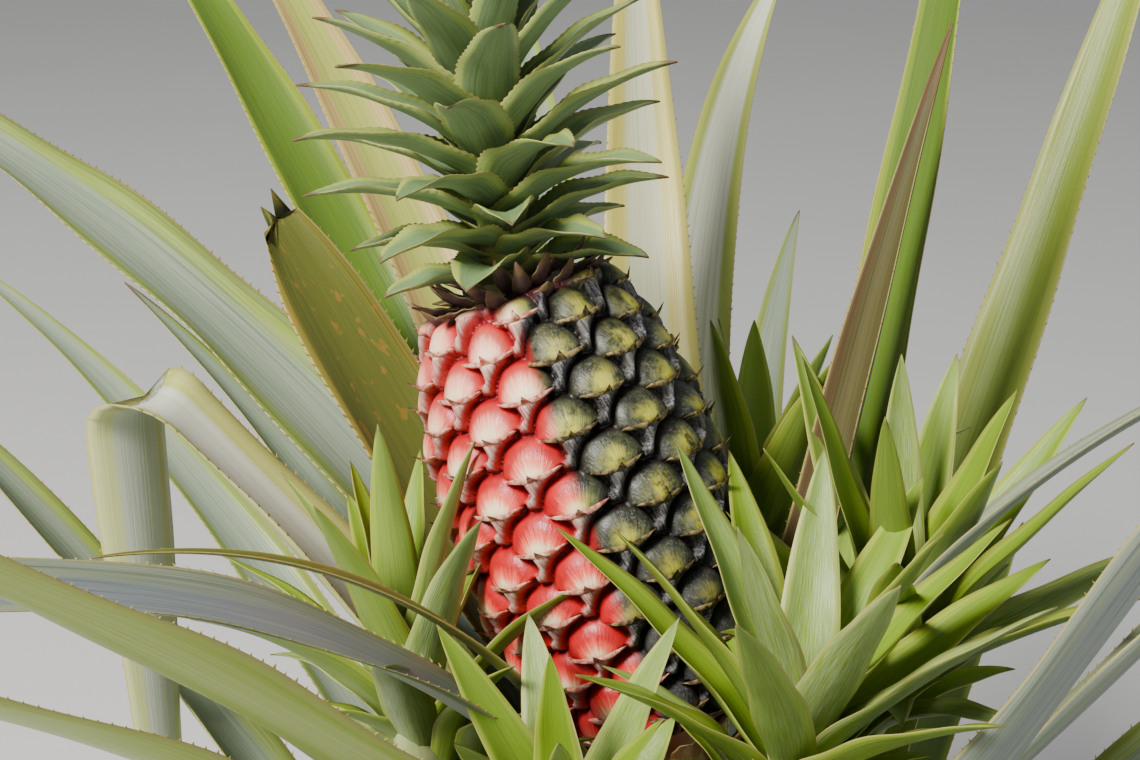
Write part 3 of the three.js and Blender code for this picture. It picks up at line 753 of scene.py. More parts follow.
def grow_leaf(name, node, plan, finish, shares):
    rings, half = blade_rings(plan, shares)
    piece = tube(name, rings, finish)
    paint_maps(piece, shares, LEAF_ACROSS)
    mark_margin(piece, rings, half)
    grown(piece, spines, {**SPINES, "Seed": len(bpy.data.objects)})
    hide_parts(node)
    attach(piece, "root")


for rank in range(LEAVES["count"]):
    plan = leaf_plan(rank)
    finish = leaf_finishes[plan["kind"]][rank % len(DRY_TIPS)]
    label = f"leaf_{rank + 1:02d}"
    if "fold" in plan:
        crest = (plan["fold"][0] + plan["fold"][1]) / 2
        rise = np.linspace(0, crest - FOLD_GAP, 70)
        hang = np.linspace(crest + FOLD_GAP, 1.0, 60)
        grow_leaf(f"{label}_rising_blade", f"{label}_rise", plan, finish, rise)
        grow_leaf(f"{label}_hanging_blade", f"{label}_hang", plan, finish, hang)
    else:
        shares = np.linspace(0, plan.get("torn", LEAF_END), LEAF_STATIONS)
        grow_leaf(f"{label}_blade", label, plan, finish, shares)


# Slips: leafy side shoots that grow out on short curved stalks from just under the fruit. Their soft leaves
# stand in a spiral, bright yellow-green with pale margins, and some carry a silvery bloom.
def open_strip(name, stations, tooth=0.0, across=7):
    """One flat closed leaf blade to be bent to shape: its places along, across and through it are kept."""
    shares = np.linspace(0, 1, stations)
    rows = np.zeros((stations, 2 * across, 3))
    rows[:, :, 1] = shares[:, None]
    rows[:, :across, 0] = np.linspace(-1, 1, across)
    rows[:, across:, 0] = np.linspace(1, -1, across)
    rows[:, across:, 2] = -0.1
    strip = tube(name, rows / MM, None)
    paint_maps(strip, shares, across)
    points = np.array([v.co for v in strip.data.vertices])
    row = np.round(points[:, 1] * (stations - 1)).astype(int)
    note(strip.data, "jag", np.where((np.abs(points[:, 0]) > 0.99) & (row % 2 == 1), tooth, 0.0))
    return strip


def rosette_tree():
    """Leaves set round a core by a fixed turn, each bent from a flat strip by its share of the way up."""
    at_ends = [f"{name} {end}" for name in ("Radius", "Start", "End", "Length", "Width", "Curl")
               for end in ("Foot", "Head")]
    single = "Turn, Step, Tilt, Start Power, End Power, Length Full, Full At, Taper, Thickness, Crease, Stir"
    tree, given = new_tree(
        "spiral rosette",
        "GeometryNodeTree",
        {"Geometry": "Geometry", "Int": "Leaves, Seed", "Vector": "Foot, Head, Tilt Axis",
         "Float": ", ".join([single, "Cells", *at_ends]), "Material": "Finish"},
        {"Geometry": "Geometry"},
    )

    def mixed(share, low, high):
        return ease(share, 0.0, 1.0, low, high, "LINEAR")

    def foot_to_head(share, name):
        return mixed(share, given[f"{name} Foot"], given[f"{name} Head"])

    def luck(low, high, offset):
        values = {2: low, 3: high, 7: rank, 8: given["Seed"] + float(offset)}
        return wire(tree, "FunctionNodeRandomValue", values, out=1, data_type="FLOAT")

    def sine(value):
        return calc("SINE", value)

    def cosine(value):
        return calc("COSINE", value)

    # A blade on each point, with its rank, and each place across it, along it and through it.
    points = wire(tree, "GeometryNodePoints", {"Count": given["Leaves"]})
    points = keep(points, "leaf", wire(tree, "GeometryNodeInputIndex"), "INT")
    blades = wire(tree, "GeometryNodeInstanceOnPoints", {"Points": points, "Instance": given["Geometry"]})
    blades = realized(blades)
    rank = named(tree, "leaf", "INT")
    rise = rank / calc("MAXIMUM", given["Leaves"] - 1.0, 1.0)
    across, along, deep = split(wire(tree, "GeometryNodeInputPosition"))
    deep = deep * -10.0

    # The middle line leans from its first angle to its last on a round bow.
    first = calc("RADIANS", foot_to_head(rise ** given["Start Power"], "Start"))
    last = foot_to_head(rise ** given["End Power"], "End")
    last = calc("RADIANS", last + luck(-1.0, 1.0, 1) * given["Stir"])
    change = last - first
    lean = first + change * along
    swell = ease(rise, 0.0, given["Full At"], given["Length Foot"], given["Length Full"], "LINEAR")
    sink = ease(rise, given["Full At"], 1.0, given["Length Full"], given["Length Head"], "LINEAR")
    over = calc("MINIMUM", swell, sink) * luck(0.94, 1.06, 2) / change
    out = over * (cosine(first) - cosine(lean))
    up = over * (sine(lean) - sine(first))

    # The section is part of a round channel, or a crease with a sharp middle, and ripples at its edges.
    taper = calc("MAXIMUM", 1.0 - along ** given["Taper"], 0.0) ** POINTED
    taper = calc("MAXIMUM", taper, FINEST)
    half = foot_to_head(rise, "Width") * luck(0.93, 1.07, 3)
    half = half * (taper * ease(along, 0.0, 0.3, 0.75, 1.0))
    half = half * (named(tree, "jag") + 1.0)
    curl = calc("RADIANS", foot_to_head(along, "Curl"))
    bow = half / curl
    keel = 1.0 - across * across * 0.7
    thick = given["Thickness"] * mixed(along, 1.0, 0.4) * keel
    reach = bow + deep * thick
    slope = curl * 0.6
    creased = calc("SQRT", across * across + 0.012) - 0.11
    creased = half * creased * sine(slope) - deep * thick
    hollow = mixed(given["Crease"], bow - reach * cosine(across * curl), creased)
    side = mixed(given["Crease"], reach * sine(across * curl), half * across * cosine(slope))
    wave = sine(along * 17.0 + luck(0.0, 6.0, 4)) * 0.06
    hollow = hollow + wave * (half * calc("ABSOLUTE", across))

    # The bent blade is turned to its place in the spiral, tilted with the core and set at its height on it.
    foot = foot_to_head(rise, "Radius") * 0.35
    spot = join(tree, foot + out - hollow * cosine(lean), side, up + hollow * sine(lean))
    azimuth = calc("RADIANS", given["Turn"] + given["Step"] * rank)
    turned = {"Vector": spot, "Angle": azimuth}
    spot = wire(tree, "ShaderNodeVectorRotate", turned, rotation_type="Z_AXIS")
    tilted = {"Vector": spot, "Axis": given["Tilt Axis"], "Angle": given["Tilt"]}
    spot = wire(tree, "ShaderNodeVectorRotate", tilted)
    step = vector_calc("SCALE", vector_calc("SUBTRACT", given["Head"], given["Foot"]), rise * 0.92)
    spot = vector_calc("ADD", spot, vector_calc("ADD", given["Foot"], step))
    bent = wire(tree, "GeometryNodeSetPosition", {"Geometry": blades, "Position": spot})

    # Each leaf has a cell of its own in the map.
    corner = join(tree, rank % given["Cells"], calc("FLOOR", rank / given["Cells"]))
    lay = vector_calc("SCALE", named(tree, "OFBake", "FLOAT_VECTOR"), 0.96)
    lay = vector_calc("ADD", vector_calc("ADD", lay, (0.02, 0.02, 0.0)), corner)
    lay = vector_calc("SCALE", lay, calc("DIVIDE", 1.0, given["Cells"]))
    bent = keep(bent, "OFBake", lay, "FLOAT2", "CORNER")
    bent = keep(bent, "lot", luck(0.0, 1.0, 5))
    return end_tree(finished(bent, given["Finish"]))


rosette = rosette_tree()
METRIC = ("Radius", "Length", "Width", "Thickness")
ENDS = {2: ("Foot", "Head"), 3: ("Foot", "Full", "Head")}


def vary_by_leaf(material, bloom=None):
    """Gives each leaf of a rosette its own part of the blade pattern, and its own bloom in a range."""
    lot = kept(material.node_tree, "lot")
    group = next(node for node in material.node_tree.nodes if node.type == "GROUP")
    give(group.inputs["Seed"], lot * 40.0)
    if bloom:
        give(group.inputs["Bloom"], ease(lot, 0.55, 1.0, *bloom))
    return material


def rod_between(name, stops, radii, material, sides=20, steps=26):
    """A smooth closed rod through a few stops, with a radius at each."""
    stops = np.array([tuple(stop) for stop in stops], float)
    places = np.linspace(0, 1, len(stops))
    shares = np.linspace(0, 1, steps)
    cubic = np.polyfit(places, stops, len(stops) - 1)
    line = sum(np.outer(shares**power, row) for power, row in zip(range(len(stops) - 1, -1, -1), cubic))

    def radius(share, angle):
        return np.interp(share, places, radii) * (1 + 0.03 * math.sin(3 * angle + 8 * share))

    rows = rod_rows(shares, map(Vector, line), map(Vector, np.gradient(line, axis=0)), radius, sides)
    return tube(name, rows, material)


def grow_rosette(name, strip, core_foot, core_head, axis, values):
    """Fills a copy of the flat strip's mesh into a rosette of leaves on a core. Pairs of values are at the
    core's foot and head."""
    given = {
        "Foot": tuple(v * MM for v in core_foot),
        "Head": tuple(v * MM for v in core_head),
        "Tilt Axis": tuple(UP.cross(axis).normalized()),
        "Tilt": math.acos(axis.z),
    }
    for key, value in values.items():
        unit = MM if key in METRIC else 1.0
        if isinstance(value, tuple):
            given.update({f"{key} {end}": float(part) * unit for end, part in zip(ENDS[len(value)], value)})
        else:
            given[key] = value if key in ("Leaves", "Seed", "Finish") else float(value) * unit
    return grown(add_object(name, strip.data.copy()), rosette, given)


slip_colours = ((0.17, 0.275, 0.010), (0.29, 0.37, 0.03), (0.085, 0.17, 0.008), (0.20, 0.285, 0.045))
slip_amounts = dict(gloss=0.35, Bloom=0.03, Band=0.7, Streaks=0.5, Dry=0.012)
slip_finish = vary_by_leaf(blade_finish("slip leaf", slip_colours, **slip_amounts), bloom=(0.02, 0.45))
slip_stalk_finish, shader = new_finish("slip stalk")
streak = noise(stretched(on_object(slip_stalk_finish), (300, 300, 60)), 1.0)
paint(shader, tint(streak, (0.24, 0.32, 0.08), (0.48, 0.50, 0.26)), 0.5, streak, 0.4, 0.0005)
SLIPS = {
    "front_right": dict(root=(0.72, -62), neck=(27, -75, 449), axis=(9, 40), core=24, turn=214, leaves=16,
                        reach=137, outer=(47, 69), inner=(22, 28)),
    "right": dict(root=(0.5, 0), neck=(75, 12, 440), axis=(6, 291), core=24, turn=3, leaves=16,
                  reach=153, outer=(48, 62), inner=(10, 14)),
    "left": dict(root=(0.62, 200), neck=(-112, -50, 450), axis=(30, 110), core=36, turn=271, leaves=15,
                 reach=112, outer=(44, 96), inner=(6, 10), half=12.5),
    "front_left": dict(root=(0.42, 258), neck=(-52, -94, 424), axis=(24, 250), core=22, turn=96, leaves=10,
                       reach=112, outer=(40, 70), inner=(8, 14), half=13.5),
    "back": dict(root=(0.7, 72), neck=(22, 92, 446), axis=(22, 75), core=24, turn=30, leaves=13,
                 reach=132, outer=(46, 76), inner=(10, 16)),
}
# How far out and up a slip's stalk has its elbow, and its radii from its foot to its tip.
ELBOW_OUT, ELBOW_UP = 0.62, 0.25
SLIP_RADII = (5.5, 5.5, 8, 4)
SLIP_LEAF = {
    "Step": -GOLDEN, "Start Power": 1, "End Power": 1, "Taper": 2.1, "Thickness": 1.3, "Curl": (56, 26),
    "Crease": 0.6, "Cells": 4, "Finish": slip_finish,
}
slip_strip = open_strip("slip_strip", 44)
for index, (side_name, slip) in enumerate(SLIPS.items()):
    share, out_turn = slip["root"][0], math.radians(slip["root"][1])
    out = Vector((math.cos(out_turn), math.sin(out_turn), 0))
    start = stalk_point(share) + (STALK["foot"] + STALK["swell"] * share - 2) * out
    lean, away = (math.radians(v) for v in slip["axis"])
    axis = Vector((math.cos(away) * math.sin(lean), math.sin(away) * math.sin(lean), math.cos(lean)))
    neck = Vector(slip["neck"])
    head = neck + slip["core"] * axis
    elbow = start + ELBOW_OUT * (neck - start)
    elbow.z = between(start.z, neck.z, ELBOW_UP)
    stops = (start, elbow, neck, head)
    rod = rod_between(f"slip_{side_name}_stalk", stops, SLIP_RADII, slip_stalk_finish)
    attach(rod, "root")
    reach, outer, inner, half = slip["reach"], slip["outer"], slip["inner"], slip.get("half", 16.0)
    tuft_values = {
        **SLIP_LEAF, "Leaves": slip["leaves"], "Seed": 31 + index, "Turn": slip["turn"], "Radius": (8, 4),
        "Start": (outer[0], inner[0]), "End": (outer[0] + 0.92 * (outer[1] - outer[0]), inner[1]),
        "Length": (0.93 * reach, reach, 0.84 * reach), "Full At": 0.3, "Width": (half, half * 0.9),
        "Stir": 1.5,
    }
    tuft = grow_rosette(f"slip_{side_name}_leaves", slip_strip, neck, head, axis, tuft_values)
    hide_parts(f"slip_{side_name}")
    sheath_values = {
        **SLIP_LEAF, "Leaves": 10, "Seed": 61 + index, "Turn": slip["turn"] + 60, "Radius": (18, 20),
        "Start": (40, 36), "End": (84, 80), "Length": (0.4 * reach, 0.6 * reach, 0.66 * reach),
        "Full At": 0.8, "Width": (10, 12), "Stir": 9,
    }
    low = between(elbow, neck, 0.15)
    sheath = grow_rosette(f"slip_{side_name}_sheath_leaves", slip_strip, low, neck, axis, sheath_values)
    for piece in (tuft, sheath):
        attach(piece, "root")


# Stalk bracts: narrow pinkish leaves, grown to the stalk at their feet, that stand round it under the fruit.
# They are made like the slips' leaves.
bract_colours = ((0.50, 0.13, 0.06), (0.52, 0.24, 0.09), (0.30, 0.10, 0.04), (0.46, 0.20, 0.10))
stalk_bract_finish = vary_by_leaf(blade_finish("stalk bract", bract_colours, Bloom=0.1, Dry=0.06))
bract_values = {
    **SLIP_LEAF, "Leaves": 11, "Seed": 77, "Turn": 250, "Radius": (38, 42), "Start": (30, 62),
    "End": (78, 72), "Length": (62, 58, 34), "Full At": 0.3, "Width": (8, 6.5), "Curl": (40, 26),
    "Stir": 8, "Finish": stalk_bract_finish,
}
low, high = stalk_point(0.55), stalk_point(0.97)
bracts = grow_rosette("stalk_bracts", slip_strip, low, high, (high - low).normalized(), bract_values)
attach(bracts, "root")
bpy.data.objects.remove(slip_strip)


# Fruit: a barrel of fleshy eyes on a spiral, grown together. Each eye is a low dome with a bract wedge under
# its lip; one flank is ripe red with cream middles, the other dark olive with a grey bloom.
FRUIT = {
    "length": 190.0, "radius": 55.5, "foot": 31.0, "shoulder": 34.0, "roundness": 2.3, "rise": 9.0,
}
EYE_TURN = 137.463
EYE_PHASE = 316.9
EYE_CLIMB = 1.3675
EYES = 144
EYES_BELOW = 7.5
RED_TO_DARK = (272.5, 100.0)
NOWHERE = 9.0
# An eye in millimetres: its dome's half sizes, how far the dome's middle is sunk and how square it is, and
# the wedge's half width, narrowing, slant and length. Eyes are measured flat, on a barrel of one radius.
DOME = {"half_wide": 15.6, "half_tall": 18.6, "sunk": 3.4, "squareness": 2.3}
WEDGE = {"half": 9.6, "narrowing": 0.36, "slant": 0.2, "length": 19}
LIP = -2.0
FLAT_RADIUS = 57
SKIN_IN = 3.6
END_TILT = 62
fruit_base = stalk_top + 0.3 * fruit_axis
fruit_matrix = np.array(UP.rotation_difference(fruit_axis).to_matrix())


def skin_point(share, azimuth, rise):
    """Points of the skin by share of the way up, azimuth in radians and rise, with their outward way."""
    along = 2 * share - 1
    end = np.where(along < 0, FRUIT["foot"], FRUIT["shoulder"])
    radius = between(FRUIT["radius"], end, np.abs(along) ** FRUIT["roundness"]) - SKIN_IN
    tilt = np.radians(END_TILT) * np.sign(along) * np.abs(along) ** 6
    height = FRUIT["length"] * (0.5 + 0.5 * (1.06 * along - 0.06 * along**3))
    out = radius + rise * np.cos(tilt)
    up = np.clip(height + rise * np.sin(tilt), 0, FRUIT["length"] + 1.5)
    point = np.stack([out * np.cos(azimuth), out * np.sin(azimuth), up + 0 * azimuth], axis=-1)
    level = np.cos(tilt)
    normal = np.stack([level * np.cos(azimuth), level * np.sin(azimuth), np.sin(tilt) + 0 * azimuth], axis=-1)
    return point @ fruit_matrix.T + np.array(fruit_base), normal @ fruit_matrix.T


def lip_line(x):
    return LIP + 0.02 * x**2


def fan_reach(x, y):
    """How far out a place lies in an eye's dome: 0 at the middle of its lip, 1 at the groove round it."""
    power = DOME["squareness"]
    wide, tall = x / DOME["half_wide"], (y + DOME["sunk"]) / DOME["half_tall"]
    return (np.abs(wide) ** power + np.abs(tall) ** power) ** (1 / power)


def wedge_reach(x, y):
    """The same across the bract wedge under the lip, which narrows downwards and ends at the next eye."""
    down = np.clip(-y + LIP, 0, WEDGE["length"])
    return np.abs(x + WEDGE["slant"] * down) / np.maximum(WEDGE["half"] - WEDGE["narrowing"] * down, 1)


def dome_rise(x, y):
    dome = FRUIT["rise"] * np.clip(1 - np.clip(fan_reach(x, y), 0, 1) ** 2.5, 0, 1) ** 0.58
    return dome - 1.2 * np.exp(-(((y - lip_line(x)) / 1.6) ** 2)) * np.clip(1 - np.abs(x) / 13, 0, 1)


def wedge_rise(y, edge):
    fall = np.clip((-y + LIP) / WEDGE["length"], 0, 1) ** 2
    return (FRUIT["rise"] - 0.4) * np.clip(1 - edge**2.4, 0, 1) ** 0.55 * (1 - 0.35 * fall)


def quarter_wave(share):
    return np.sin(np.pi * np.clip(share, 0, 1) / 2)


# Each place of the skin belongs to the nearest dome, or between the domes to the nearest wedge.
ROUND, UPWARD = 372, 236
NEIGHBOURS = range(-14, 29)
share_row, azimuth_row = np.linspace(0, 1, UPWARD), np.linspace(0, 360, ROUND, endpoint=False)
shares, azimuths = np.meshgrid(share_row, azimuth_row, indexing="ij")
places = EYES * shares - EYES_BELOW
nothing = (NOWHERE, 0.0, 0.0, 0.0)
dome, wedge = ([np.full(places.shape, value) for value in nothing] for _ in range(2))
for offset in NEIGHBOURS:
    number = np.round(places) + offset
    y = (places - number) * EYE_CLIMB
    x = np.radians((azimuths - EYE_PHASE - EYE_TURN * number + 180) % 360 - 180) * FLAT_RADIUS
    above = y > lip_line(x)
    for best, reach in (
        (dome, np.where(above, fan_reach(x, y), NOWHERE)),
        (wedge, np.where(~above & (y > -24), wedge_reach(x, y), NOWHERE)),
    ):
        nearer = reach < best[0]
        best[:] = [np.where(nearer, new, old) for new, old in zip((reach, x, y, number), best)]
fan, dome_x, dome_y, dome_eye = dome
wedge_edge, wedge_x, wedge_y, wedge_eye = wedge
in_dome = fan < 1
eye_number = np.where(in_dome, dome_eye, wedge_eye)
wedge_edge = np.clip(np.maximum(wedge_edge, 1 - (fan - 1) / 0.30), 0, 1)
eye_edge = np.where(in_dome, fan, wedge_edge)
fade = quarter_wave(shares / 0.07) * quarter_wave((1 - shares) / 0.05)
lumps = 0.45 * ripple(np.radians(azimuths), shares * 60, 12, 14)
rise = np.where(in_dome, dome_rise(dome_x, dome_y), wedge_rise(wedge_y, wedge_edge))
skin_rows, _ = skin_point(shares, np.radians(azimuths), rise * fade + lumps * (1 - eye_edge))

skin_finish, shader = new_finish("fruit skin")
tree = skin_finish.node_tree
edge, far, ray, stripe, below, dark, lot, high = (
    kept(tree, name) for name in ("eye_edge", "far", "ray", "stripe", "below", "dark", "lot", "high")
)
place = on_object(skin_finish)
inside = ease(edge, 0.6, 0.92, 1.0, 0.0)
mottle = noise(place, 160.0, 4.0, 0.6)
speck = noise(place, 900.0, 2.0, 0.7)
cloud = noise(place, 38.0, 3.0)
own = lot * 30.0
rays = noise(join(tree, ray * 9.0, far * 0.8, own), 1.6, 3.0, 0.6)
stripes = noise(join(tree, stripe * 1.1, edge * 0.6, own), 1.0, 4.0, 0.65)
far = far + ((rays - 0.5) * 0.5 * inside + (lot - 0.5) * 0.2)

# The red flank, from each eye's rim to its cream middle, then the wedges, and painted shade in the grooves.
red_edge = tint(mottle, (0.30, 0.005, 0.010), (0.66, 0.012, 0.014))
red = tint(ease(far, 0.54, 0.82), (0.88, 0.11, 0.065), red_edge)
red = tint(ease(far, 0.26, 0.60), (1.0, 0.84, 0.50), red)
# Painted light: the upper eyes pale to a pinkish white towards their middles, as if lit from above.
pale = ease(high, 0.6, 0.9) * ease(far, 0.5, 0.85, 0.6, 0.15)
red = tint(pale * inside, red, (0.98, 0.62, 0.42))
red = tint(ease(high, 0.35, 0.0) * 0.5, red, (0.46, 0.015, 0.02))
red_wedge = tint(ease(stripes, 0.34, 0.62), (0.36, 0.10, 0.08), (0.62, 0.44, 0.36))
red_wedge = tint(ease(edge, 0.45, 0.85), red_wedge, (0.46, 0.03, 0.03))
red = tint(below, red, red_wedge)
# Painted shade: the grooves between the eyes darken to a deep, nearly black red.
red = tint(ease(edge, 0.84, 0.95), red, (0.24, 0.005, 0.009))

# The dark flank, with a yellow beam up each eye, darker and greyer lower eyes and a grey bloom.
green = tint(ease(mottle, 0.36, 0.64), (0.014, 0.018, 0.008), (0.13, 0.145, 0.04))
green = tint(ease(rays, 0.5, 0.62) * 0.4, green, (0.20, 0.22, 0.13))
beam = ease(calc("ABSOLUTE", ray), 0.16, 0.62, 1.0, 0.0) * ease(far, 0.25, 0.85, 1.0, 0.0)
beam = calc("MAXIMUM", beam, ease(far, 0.16, 0.42, 1.0, 0.0))
green = tint(beam * ease(mottle, 0.3, 0.55), green, (0.50, 0.47, 0.03))
green = tint(ease(high, 0.55, 0.95) * ease(mottle, 0.4, 0.6, 0.0, 0.36), green, (0.36, 0.33, 0.08))
# Painted shade: each dark eye darkens towards its edge, so that it looks round.
green = tint(ease(far, 0.5, 0.95) * 0.8, green, (0.014, 0.017, 0.010))
# The lower eyes turn darker and greyer towards the bottom of the fruit.
greyer_low_tone = tint(mottle, (0.016, 0.016, 0.018), (0.085, 0.08, 0.085))
green = tint(ease(high, 0.55, 0.12) * 0.85, green, greyer_low_tone)
sooty_wedge = tint(ease(stripes, 0.4, 0.66), (0.014, 0.013, 0.015), (0.17, 0.165, 0.15))
green = tint(below, green, sooty_wedge)
bloom = ease(speck, 0.5, 0.66) * ease(cloud, 0.32, 0.6) * ease(below, 0.0, 1.0, 0.25, 0.55)
green = tint(bloom, green, (0.34, 0.31, 0.38))
# Painted shade: the grooves between the dark eyes are nearly black.
green = tint(ease(edge, 0.78, 0.93), green, (0.010, 0.006, 0.004))
skin = tint(dark, red, green)
# Painted shade: a near-black band round the top of the fruit, under the shoulder leaves and the crown.
skin = tint(ease(high, 0.955, 0.985), skin, (0.06, 0.012, 0.014))
rough = ease(mottle, 0.3, 0.7, 0.32, 0.5) + dark * 0.05
height = (rays + stripes * below) * inside + speck * 0.3
paint(shader, skin, rough, height, 0.6, 0.0007, gloss=0.4)


def darkness(azimuth, wide_here, wide_there):
    """How far a place is on the dark flank, with a softer border on the far side of the fruit."""
    first, second = RED_TO_DARK
    here = smooth(azimuth, first - wide_here, first + wide_here)
    return np.maximum(here, 1 - smooth(azimuth, second - wide_there, second + wide_there))


fruit = tube("fruit_skin", skin_rows, skin_finish)
wander = 3.0 * ripple(np.radians(azimuths), shares * 25, 5, 10)
draw = np.random.default_rng(9).random(400)
own_x, own_y = np.where(in_dome, dome_x, wedge_x), np.where(in_dome, dome_y, wedge_y)
for name, values in {
    "eye_edge": eye_edge,
    "far": np.where(in_dome, np.hypot(own_x / 13.4, (own_y + 2.6) / 15.6), 1.0),
    "ray": np.arctan2(own_x, own_y + 8),
    "stripe": own_x + WEDGE["slant"] * own_y,
    "below": 1.0 - in_dome,
    "dark": darkness(azimuths % 360 + wander, 3.5, 8),
    "lot": draw[(eye_number.astype(int) + 40) % 400],
    "high": shares,
}.items():
    note(fruit.data, name, np.concatenate([values.ravel(), [values[0].mean(), values[-1].mean()]]))
vertex, face = face_corners(fruit.data)
column = vertex % ROUND
seam = (face % ROUND == ROUND - 1) & (column == 0)
ends = vertex >= ROUND * UPWARD
u = np.where(ends, (face % ROUND + 0.5) / ROUND, np.where(seam, ROUND, column) / ROUND)
v = np.where(ends, vertex - ROUND * UPWARD, 0.02 + 0.96 * (vertex // ROUND) / (UPWARD - 1))
lay_open(fruit.data, "OFBake", 0.005 + 0.99 * u, 0.005 + 0.99 * v)
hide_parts("fruit")
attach(fruit, "root")


# Bracts of the eyes: a papery lip across the middle of each eye, joined to the skin along its foot. It turns
# up at both ends and runs out in the middle to a small dry point.
def bract_mesh():
    """One bract in its eye's own frame: x to the right, y up the fruit and z outwards."""
    spots = np.linspace(-1, 1, 15)
    x = 11.6 * np.sign(spots) * np.abs(spots) ** 1.25
    lip = lip_line(x)
    ground = dome_rise(x, lip) - dome_rise(0.0, 3.0) - x**2 / 116
    point = np.clip(1 - np.abs(x) / 2.5, 0, 1) ** 0.9
    rag = 0.22 * np.sin(4.1 * x) * (1 - point)
    steps = (0.0, 0.45, 1.0)
    upper = []
    for step in steps:
        y = lip - 0.5 + step * (0.3 + rag + 4.2 * point + 0.005 * x**2)
        z = ground - 0.2 + step * (0.6 + 2.4 * point + 0.014 * x**2) + step**2 * (0.2 + 2.6 * point)
        upper.append(np.stack([x, y, z], axis=-1))
    upper = np.array(upper)
    thin = np.array([0.4, 0.28, 0.1])[:, None] * np.array([0.0, 0.35, -1.0])
    rows = np.concatenate([upper + thin[:, None, :], upper[:, ::-1]], axis=1)
    piece = tube("bract", rows, None)
    middle = np.tile(np.concatenate([point, point[::-1]]), 3)
    tips = np.repeat(steps, rows.shape[1]) * (0.35 + 0.65 * middle)
    note(piece.data, "tip", np.concatenate([tips, [0.0, 0.7]]))
    return piece


def scatter_tree():
    """Sets a shape on points by their own frames and sizes."""
    tree, given = new_tree(
        "one to an eye",
        "GeometryNodeTree",
        {"Geometry": "Geometry", "Object": "Shape", "Float": "Size", "Material": "Finish"},
        {"Geometry": "Geometry"},
    )
    shape = wire(tree, "GeometryNodeObjectInfo", {"Object": given["Shape"]}, out=4)
    axes = {"Primary Axis": "normal", "Secondary Axis": "upward"}
    axes = {key: named(tree, name, "FLOAT_VECTOR") for key, name in axes.items()}
    facing = wire(tree, "FunctionNodeAxesToRotation", axes, primary_axis="Z", secondary_axis="Y")
    size = named(tree, "size") * given["Size"]
    placed = {"Points": given["Geometry"], "Instance": shape, "Rotation": facing, "Scale": size}
    spread = realized(wire(tree, "GeometryNodeInstanceOnPoints", placed))
    return end_tree(finished(spread, given["Finish"]))


bract_finish, shader = new_finish("eye bract")
tip, dark = (kept(bract_finish.node_tree, name) for name in ("tip", "dark"))
grain = noise(on_object(bract_finish), 420.0, 3.0)
pink = tint(ease(grain, 0.35, 0.65), (0.55, 0.11, 0.08), (0.86, 0.50, 0.38))
tan = tint(ease(grain, 0.35, 0.65), (0.05, 0.03, 0.014), (0.36, 0.26, 0.10))
paper = tint(ease(tip, 0.66, 0.92), tint(dark, pink, tan), (0.03, 0.012, 0.008))
paint(shader, paper, 0.6, grain, 0.4, 0.0003)

BRACT_COUNT = 133
LOWEST_BRACT, HIGHEST_BRACT = 0.05, 0.965
numbers = np.arange(BRACT_COUNT)
eye_share = (numbers + EYES_BELOW) / EYES
eye_azimuth = (EYE_PHASE + EYE_TURN * numbers) % 360
whole = (eye_share > LOWEST_BRACT) & (eye_share < HIGHEST_BRACT)
eye_share, eye_azimuth, numbers = eye_share[whole], eye_azimuth[whole], numbers[whole]
radians = np.radians(eye_azimuth)
rise_there = dome_rise(0.0, 3.0) * quarter_wave(eye_share / 0.07)
spots, normals = skin_point(eye_share, radians, rise_there)
above, _ = skin_point(np.clip(eye_share + 0.01, 0, 1), radians, rise_there)
points = bpy.data.meshes.new("eye_spots")
points.from_pydata([tuple(p) for p in spots * MM], [], [])
note(points, "normal", normals, "FLOAT_VECTOR")
note(points, "upward", above - spots, "FLOAT_VECTOR")
note(points, "size", (0.9 + 0.2 * draw[numbers]) * (1 - 0.25 * smooth(eye_share, 0.85, 1.0)))
note(points, "dark", darkness(eye_azimuth, 1, 1))
bract = bract_mesh()
bracts = add_object("eye_bracts", points)
grown(bracts, scatter_tree(), {"Shape": bract, "Size": 1.0, "Finish": bract_finish})
bpy.data.objects.remove(bract)
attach(bracts, "root")


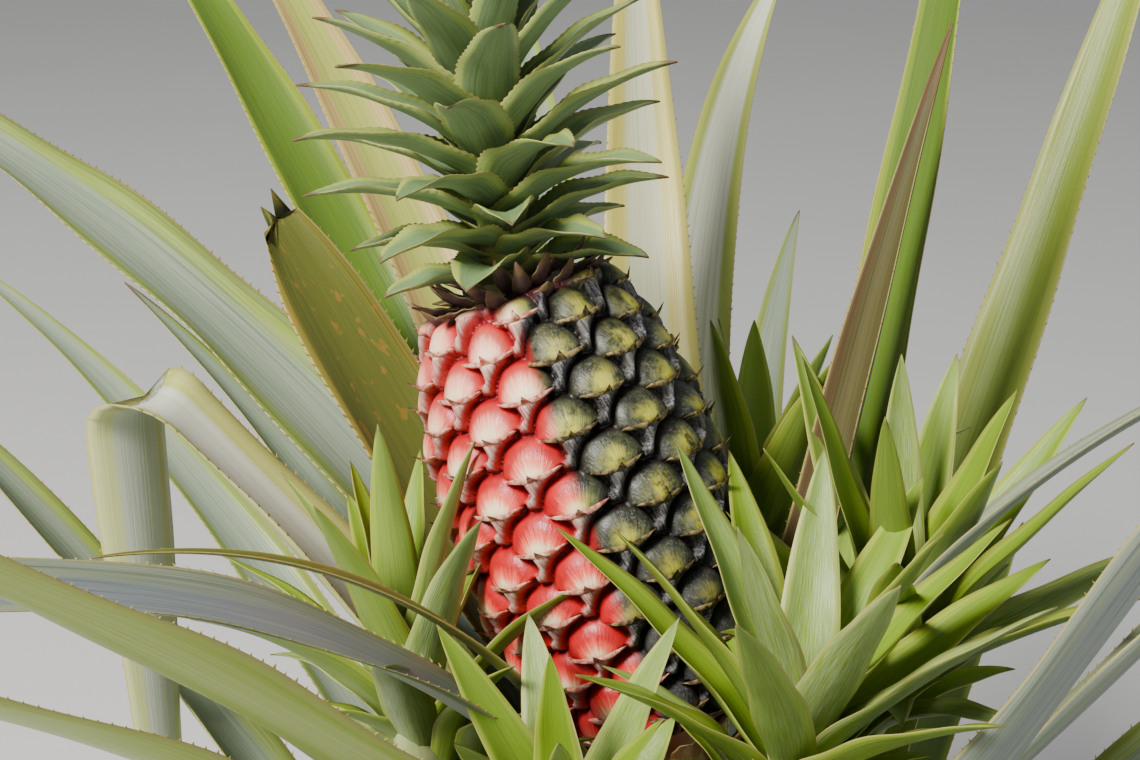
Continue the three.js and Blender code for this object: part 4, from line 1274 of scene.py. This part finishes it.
# Crown: stiff leaves packed in a spiral on a short core, green under a grey bloom, with pale toothed margins.
# A ring of small withered leaves lies between it and the fruit's shoulder.
crown_colours = ((0.15, 0.24, 0.09), (0.36, 0.43, 0.07), (0.08, 0.15, 0.045), (0.22, 0.31, 0.15))
crown_finish = blade_finish("crown leaf", crown_colours, Bloom=0.12, Band=0.74, Streaks=0.4, Dry=0.05)
crown_finish = vary_by_leaf(crown_finish)
withered_colours = ((0.045, 0.014, 0.016), (0.12, 0.05, 0.035), (0.03, 0.012, 0.014), (0.10, 0.05, 0.045))
withered_finish = blade_finish("withered leaf", withered_colours, Bloom=0.1, Band=0.7, Streaks=0.7, Dry=0.3)
withered_finish = vary_by_leaf(withered_finish)
CORE = {"gap": 4.2, "length": 112, "heart_at": 78, "bend_at": 56, "radii": (20, 11, 8, 4)}
SHOULDER = {"foot": 186, "height": 8, "core_foot": 185}
crown_axis = leaning(8, 4)
crown_foot = fruit_base + (FRUIT["length"] + CORE["gap"]) * fruit_axis
crown_head = crown_foot + CORE["length"] * crown_axis
toothed_strip = open_strip("toothed_strip", 48, tooth=0.07)
leaf_values = {
    "Leaves": 54, "Seed": 88, "Turn": 205, "Step": GOLDEN, "Radius": (19, 6), "Start": (66, 12),
    "Start Power": 1, "End": (104, 28), "End Power": 1.5, "Length": (50, 86, 76), "Full At": 0.4,
    "Width": (15.5, 12.5), "Taper": 2.6, "Thickness": 1.6, "Curl": (52, 34), "Crease": 0.3, "Stir": 5,
    "Cells": 8, "Finish": crown_finish,
}
crown = grow_rosette("crown_leaves", toothed_strip, crown_foot, crown_head, crown_axis, leaf_values)
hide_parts("crown")
heart_values = {
    **leaf_values, "Leaves": 16, "Seed": 12, "Turn": 100, "Radius": (10, 3), "Start": (24, 4),
    "End": (30, 10), "Length": (80, 84, 60), "Width": (12, 7), "Stir": 3,
}
heart_foot = crown_foot + CORE["heart_at"] * crown_axis
heart = grow_rosette("crown_heart_leaves", toothed_strip, heart_foot, crown_head, crown_axis, heart_values)
ring_values = {
    **leaf_values, "Leaves": 36, "Seed": 5, "Turn": 20, "Radius": (88, 50), "Start": (92, 60),
    "End": (52, 20), "Length": (13, 20, 19), "Width": (5, 3.6), "Stir": 44, "Cells": 6,
    "Finish": withered_finish,
}
ring_foot = fruit_base + SHOULDER["foot"] * fruit_axis
ring_head = ring_foot + SHOULDER["height"] * fruit_axis
ring = grow_rosette("shoulder_leaves", toothed_strip, ring_foot, ring_head, fruit_axis, ring_values)
bpy.data.objects.remove(toothed_strip)
core_foot = fruit_base + SHOULDER["core_foot"] * fruit_axis
core_stops = (core_foot, crown_foot, crown_foot + CORE["bend_at"] * crown_axis, crown_head)
core_rod = rod_between("crown_core", core_stops, CORE["radii"], crown_finish)
for piece in (crown, heart, ring, core_rod):
    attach(piece, "root")
